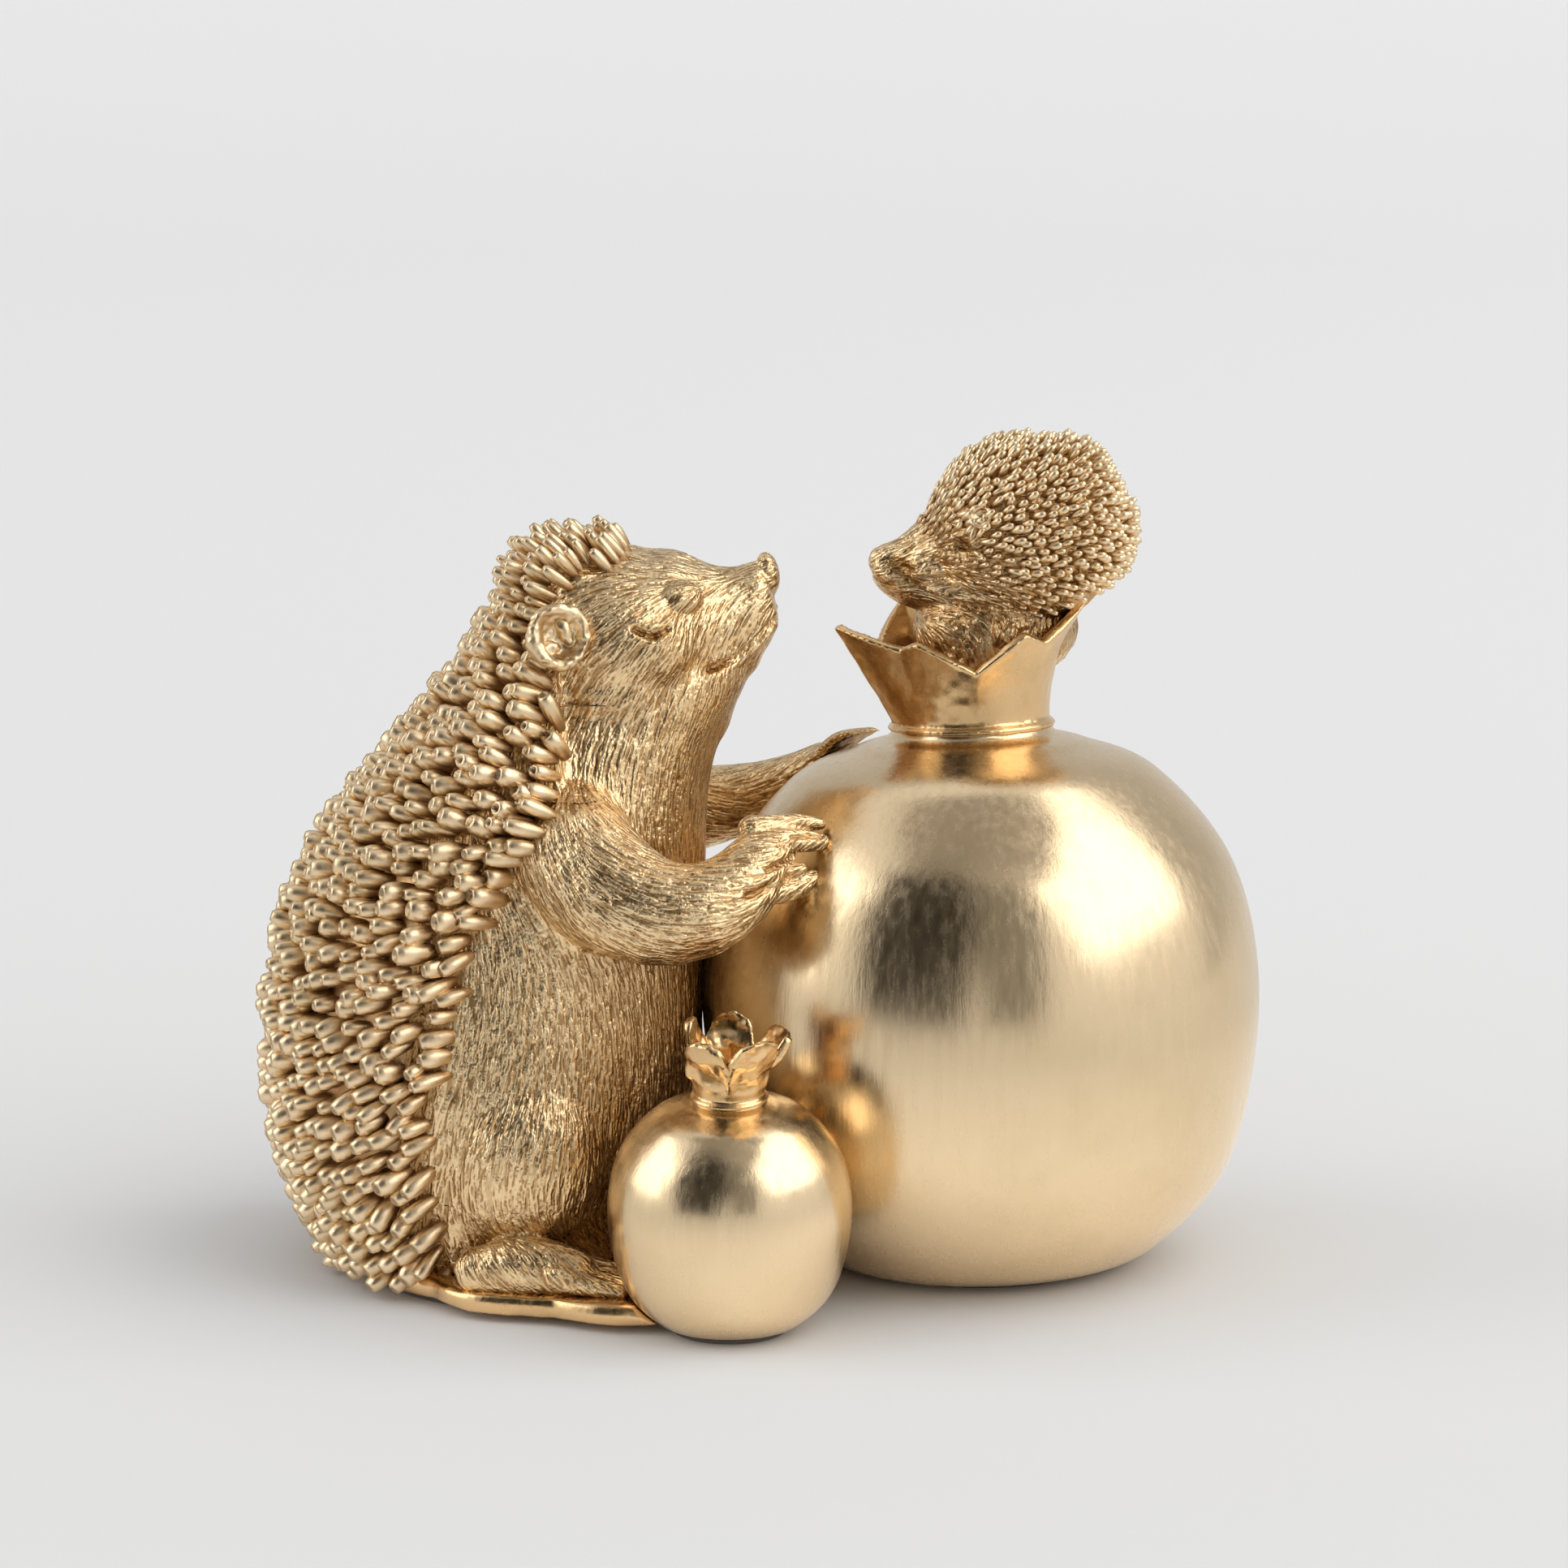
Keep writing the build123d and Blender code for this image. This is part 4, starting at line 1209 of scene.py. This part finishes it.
def gilding(title, base, worn, painted_shade_tint, gloss, rub, grain_size, bump, combed=False):
    """Gold leaf rubbed over resin: warm gold, worn patches, painted shade in recesses and, on fur,
    hair lines with painted shade in their grooves.
    """
    finish, tree, shader = new_finish(title)
    place = shader_node(tree, "TexCoord").outputs["Object"]
    rubbed = shader_node(tree, "Mapping", {"Scale": rub, "Vector": place}).outputs["Vector"]
    grain = noise(tree, rubbed, grain_size, 5.0, 0.65)
    wear = ranged(tree, noise(tree, place, patch_size, 6.0, 0.6), 0.48, 0.75)
    # Painted shade: points marked as shaded are mixed towards a dark tint
    deep = shader_node(tree, "Attribute", attribute_name="painted_shade").outputs["Fac"]
    feeds = {"Strength": bump, "Distance": grain_depth * mm, "Height": grain}
    skin = shader_node(tree, "Bump", feeds).outputs["Normal"]
    if combed:
        lines = combed_lines(tree, place)
        # Painted shade in the grooves between the hair lines
        deep = calculated(tree, deep, ranged(tree, lines, 0.55, 0.05, 0.0, 0.9), "MAXIMUM")
        feeds = {"Strength": hair_bump, "Distance": hair_depth * mm, "Height": lines, "Normal": skin}
        skin = shader_node(tree, "Bump", feeds).outputs["Normal"]
    gilt = mixed(tree, (*base, 1.0), (*worn, 1.0), wear)
    feeds = {
        "Metallic": 1.0,
        "IOR": 1.5,
        "Base Color": mixed(tree, gilt, (*painted_shade_tint, 1.0), deep),
        "Roughness": ranged(tree, grain, 0.3, 0.7, *gloss),
        "Normal": skin,
    }
    feed(tree, shader, feeds)
    return finish


def plain(title, colour, roughness=0.9):
    finish, tree, shader = new_finish(title)
    feed(tree, shader, {"Base Color": (*colour, 1.0), "Roughness": roughness})
    return finish


fruit_gilding = gilding(
    "fruit_gilding",
    base=(0.80, 0.62, 0.39),
    worn=(0.74, 0.57, 0.345),
    painted_shade_tint=painted_shade_brown,
    gloss=(0.16, 0.32),
    rub=(1.0, 1.0, 0.07),
    grain_size=800.0,
    bump=0.35,
)
# Painted reflection: the crowns' gold is deeper and more orange than the fruits', as gold looks where
# it mirrors gold; the ground band and the plug take the same
crown_gilding = gilding(
    "crown_gilding",
    base=(0.80, 0.54, 0.275),
    worn=(0.62, 0.42, 0.20),
    painted_shade_tint=painted_shade_brown,
    gloss=(0.16, 0.34),
    rub=(1.0, 1.0, 0.5),
    grain_size=700.0,
    bump=0.35,
)
# Painted light: the fur and the quills take a brighter gold than the fruits, though all of it is one
# gold leaf
fur_gilding = gilding(
    "fur_gilding",
    base=(0.92, 0.69, 0.40),
    worn=(0.78, 0.58, 0.33),
    painted_shade_tint=(0.40, 0.23, 0.09),
    gloss=(0.22, 0.42),
    rub=(1.0, 1.0, 0.6),
    grain_size=1400.0,
    bump=0.5,
    combed=True,
)
quill_gilding = gilding(
    "quill_gilding",
    base=(0.90, 0.70, 0.45),
    worn=(0.72, 0.56, 0.33),
    painted_shade_tint=(0.46, 0.29, 0.14),
    gloss=(0.28, 0.44),
    rub=(1.0, 1.0, 1.0),
    grain_size=1400.0,
    bump=0.4,
)
felt_finish = plain("felt_finish", (0.10, 0.09, 0.08), 0.95)


def finished(piece, finish, *nodes):
    """Give a piece its finish, hang it on the root body and hide the castings it stands for."""
    piece.data.materials.clear()
    piece.data.materials.append(finish)
    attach(piece, "root")
    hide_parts(*nodes)


finished(large_fruit, fruit_gilding, "large_fruit")
finished(small_fruit, fruit_gilding, "small_fruit")
finished(large_crown, crown_gilding, "fruit_crown")
finished(small_crown, crown_gilding, "small_crown")
for piece in mother_slices:
    finished(
        piece,
        fur_gilding,
        "mother_torso",
        "mother_head",
        "mother_near_arm",
        "mother_far_arm",
        "mother_near_leg",
        "mother_far_leg",
    )
finished(ground_band, crown_gilding, "ground")
for piece in [coat_skin] + mother_quills:
    finished(piece, quill_gilding, "mother_quill_coat")
for piece in young_quills:
    finished(piece, quill_gilding, "young_quill_cap")
for node, ear in ears.items():
    finished(ear, quill_gilding, node)
finished(young_fur, fur_gilding, "young_head", "young_body", "young_near_paw", "young_far_paw")
for name, finish in (
    ("pour_hole_plug", crown_gilding),
    ("ground_felt", felt_finish),
    ("large_fruit_felt", felt_finish),
    ("small_fruit_felt", felt_finish),
):
    casting = frame["nodes"][name]
    casting.data.materials.clear()
    casting.data.materials.append(finish)

# Camera
turn = math.radians(view_elevation)
eye = view_target + Vector((0.0, -math.cos(turn), math.sin(turn))) * view_distance
camera_data = bpy.data.cameras.new("photo_camera")
camera_data.sensor_width = sensor_width
camera_data.lens = sensor_width * view_distance / view_width
camera_data.clip_start = 10.0 * mm
camera_data.clip_end = 20000.0 * mm
camera = new_object("photo_camera", camera_data)
camera.location = eye * mm
camera.rotation_euler = (view_target - eye).to_track_quat("-Z", "Y").to_euler()
bpy.context.scene.camera = camera


# Studio
def backdrop():
    """Floor that runs back and rises, in metres, with painted light: for the camera it grows lighter
    towards the back, and for reflections and bounced light it holds a painted pool of light round the
    object.
    """
    points, faces = [], []
    side, near, far, rise, bend = 9.0, -6.0, 3.0, 5.0, 2.0
    outline = [(near, 0.0), (far - bend, 0.0)]
    for number in range(1, 25):
        angle = math.radians(90.0 * number / 24)
        outline.append((far - bend + bend * math.sin(angle), bend - bend * math.cos(angle)))
    outline.append((far, rise))
    for y, z in outline:
        points += [(-side / mm, y / mm, z / mm), (side / mm, y / mm, z / mm)]
    for row in range(len(outline) - 1):
        faces.append((2 * row, 2 * row + 1, 2 * row + 3, 2 * row + 2))
    piece = smooth(mesh_piece("floor", points, faces))
    paint, tree, shader = new_finish("floor_paint")
    place = shader_node(tree, "TexCoord").outputs["Object"]
    behind = shader_node(tree, "SeparateXYZ", {"Vector": place}).outputs["Y"]
    away = shader_node(tree, "VectorMath", {"Vector": place}, operation="LENGTH").outputs["Value"]
    # Painted light: a pool of light round the object, brightest within a few centimetres of it, seen
    # only by reflections and bounced light
    mirrored = ranged(tree, away, 0.055, 0.18, 0.88, 0.62)
    # Painted light: where the camera sees it, the floor grows lighter towards the back
    painted_light_gradient = ranged(tree, behind, -0.1, 1.4, 0.630, 0.775)
    seen = shader_node(tree, "LightPath").outputs["Is Camera Ray"]
    colour = mixed(tree, mirrored, painted_light_gradient, seen, "FLOAT")
    feed(tree, shader, {"Base Color": colour, "Roughness": 0.9})
    piece.data.materials.append(paint)


backdrop()


def round_object(azimuth, elevation, distance):
    """The way to a place around the object, as the viewer sees its angles, and the place."""
    a, e = math.radians(azimuth), math.radians(elevation)
    way = Vector((math.cos(e) * math.sin(a), -math.cos(e) * math.cos(a), math.sin(e)))
    return way, (object_middle + way * distance) * mm


def card(title, azimuth, elevation, distance, width, height, colour):
    """A dark card that only reflections see."""
    way, middle = round_object(azimuth, elevation, distance)
    deselect_all()
    bpy.ops.mesh.primitive_plane_add(size=1.0)
    piece = titled(bpy.context.active_object, title)
    piece.scale = (width * mm, height * mm, 1.0)
    piece.rotation_euler = (-way).to_track_quat("Z", "Y").to_euler()
    piece.location = middle
    piece.data.materials.append(plain(title + "_paint", colour))
    piece.visible_camera = False
    piece.visible_diffuse = False
    piece.visible_shadow = False


def softbox(title, azimuth, elevation, distance, width, height, power):
    way, middle = round_object(azimuth, elevation, distance)
    deselect_all()
    bpy.ops.object.light_add(type="AREA", location=middle)
    lamp = bpy.context.active_object
    lamp.name = title
    lamp.data.shape = "RECTANGLE"
    lamp.data.size = width * mm
    lamp.data.size_y = height * mm
    lamp.data.energy = power
    lamp.rotation_euler = (-way).to_track_quat("-Z", "Y").to_euler()


card("dark_doorway", -28.0, 27.0, 900.0, 800.0, 1120.0, (0.02, 0.018, 0.015))
card("grey_ceiling", 0.0, 78.0, 1500.0, 1500.0, 1100.0, (0.42, 0.40, 0.38))
card("grey_wall", 12.0, 27.0, 930.0, 400.0, 1000.0, (0.30, 0.29, 0.27))
softbox("key_softbox", 72.0, 46.0, 2000.0, 2300.0, 2300.0, 26.0)
softbox("left_softbox", -88.0, 26.0, 2200.0, 1500.0, 1700.0, 12.0)

world = bpy.data.worlds.new("studio")
bpy.context.scene.world = world
world.use_nodes = True
world.node_tree.nodes["Background"].inputs["Color"].default_value = (0.80, 0.80, 0.80, 1.0)
world.node_tree.nodes["Background"].inputs["Strength"].default_value = 1.10
bpy.context.scene.view_settings.view_transform = "Standard"
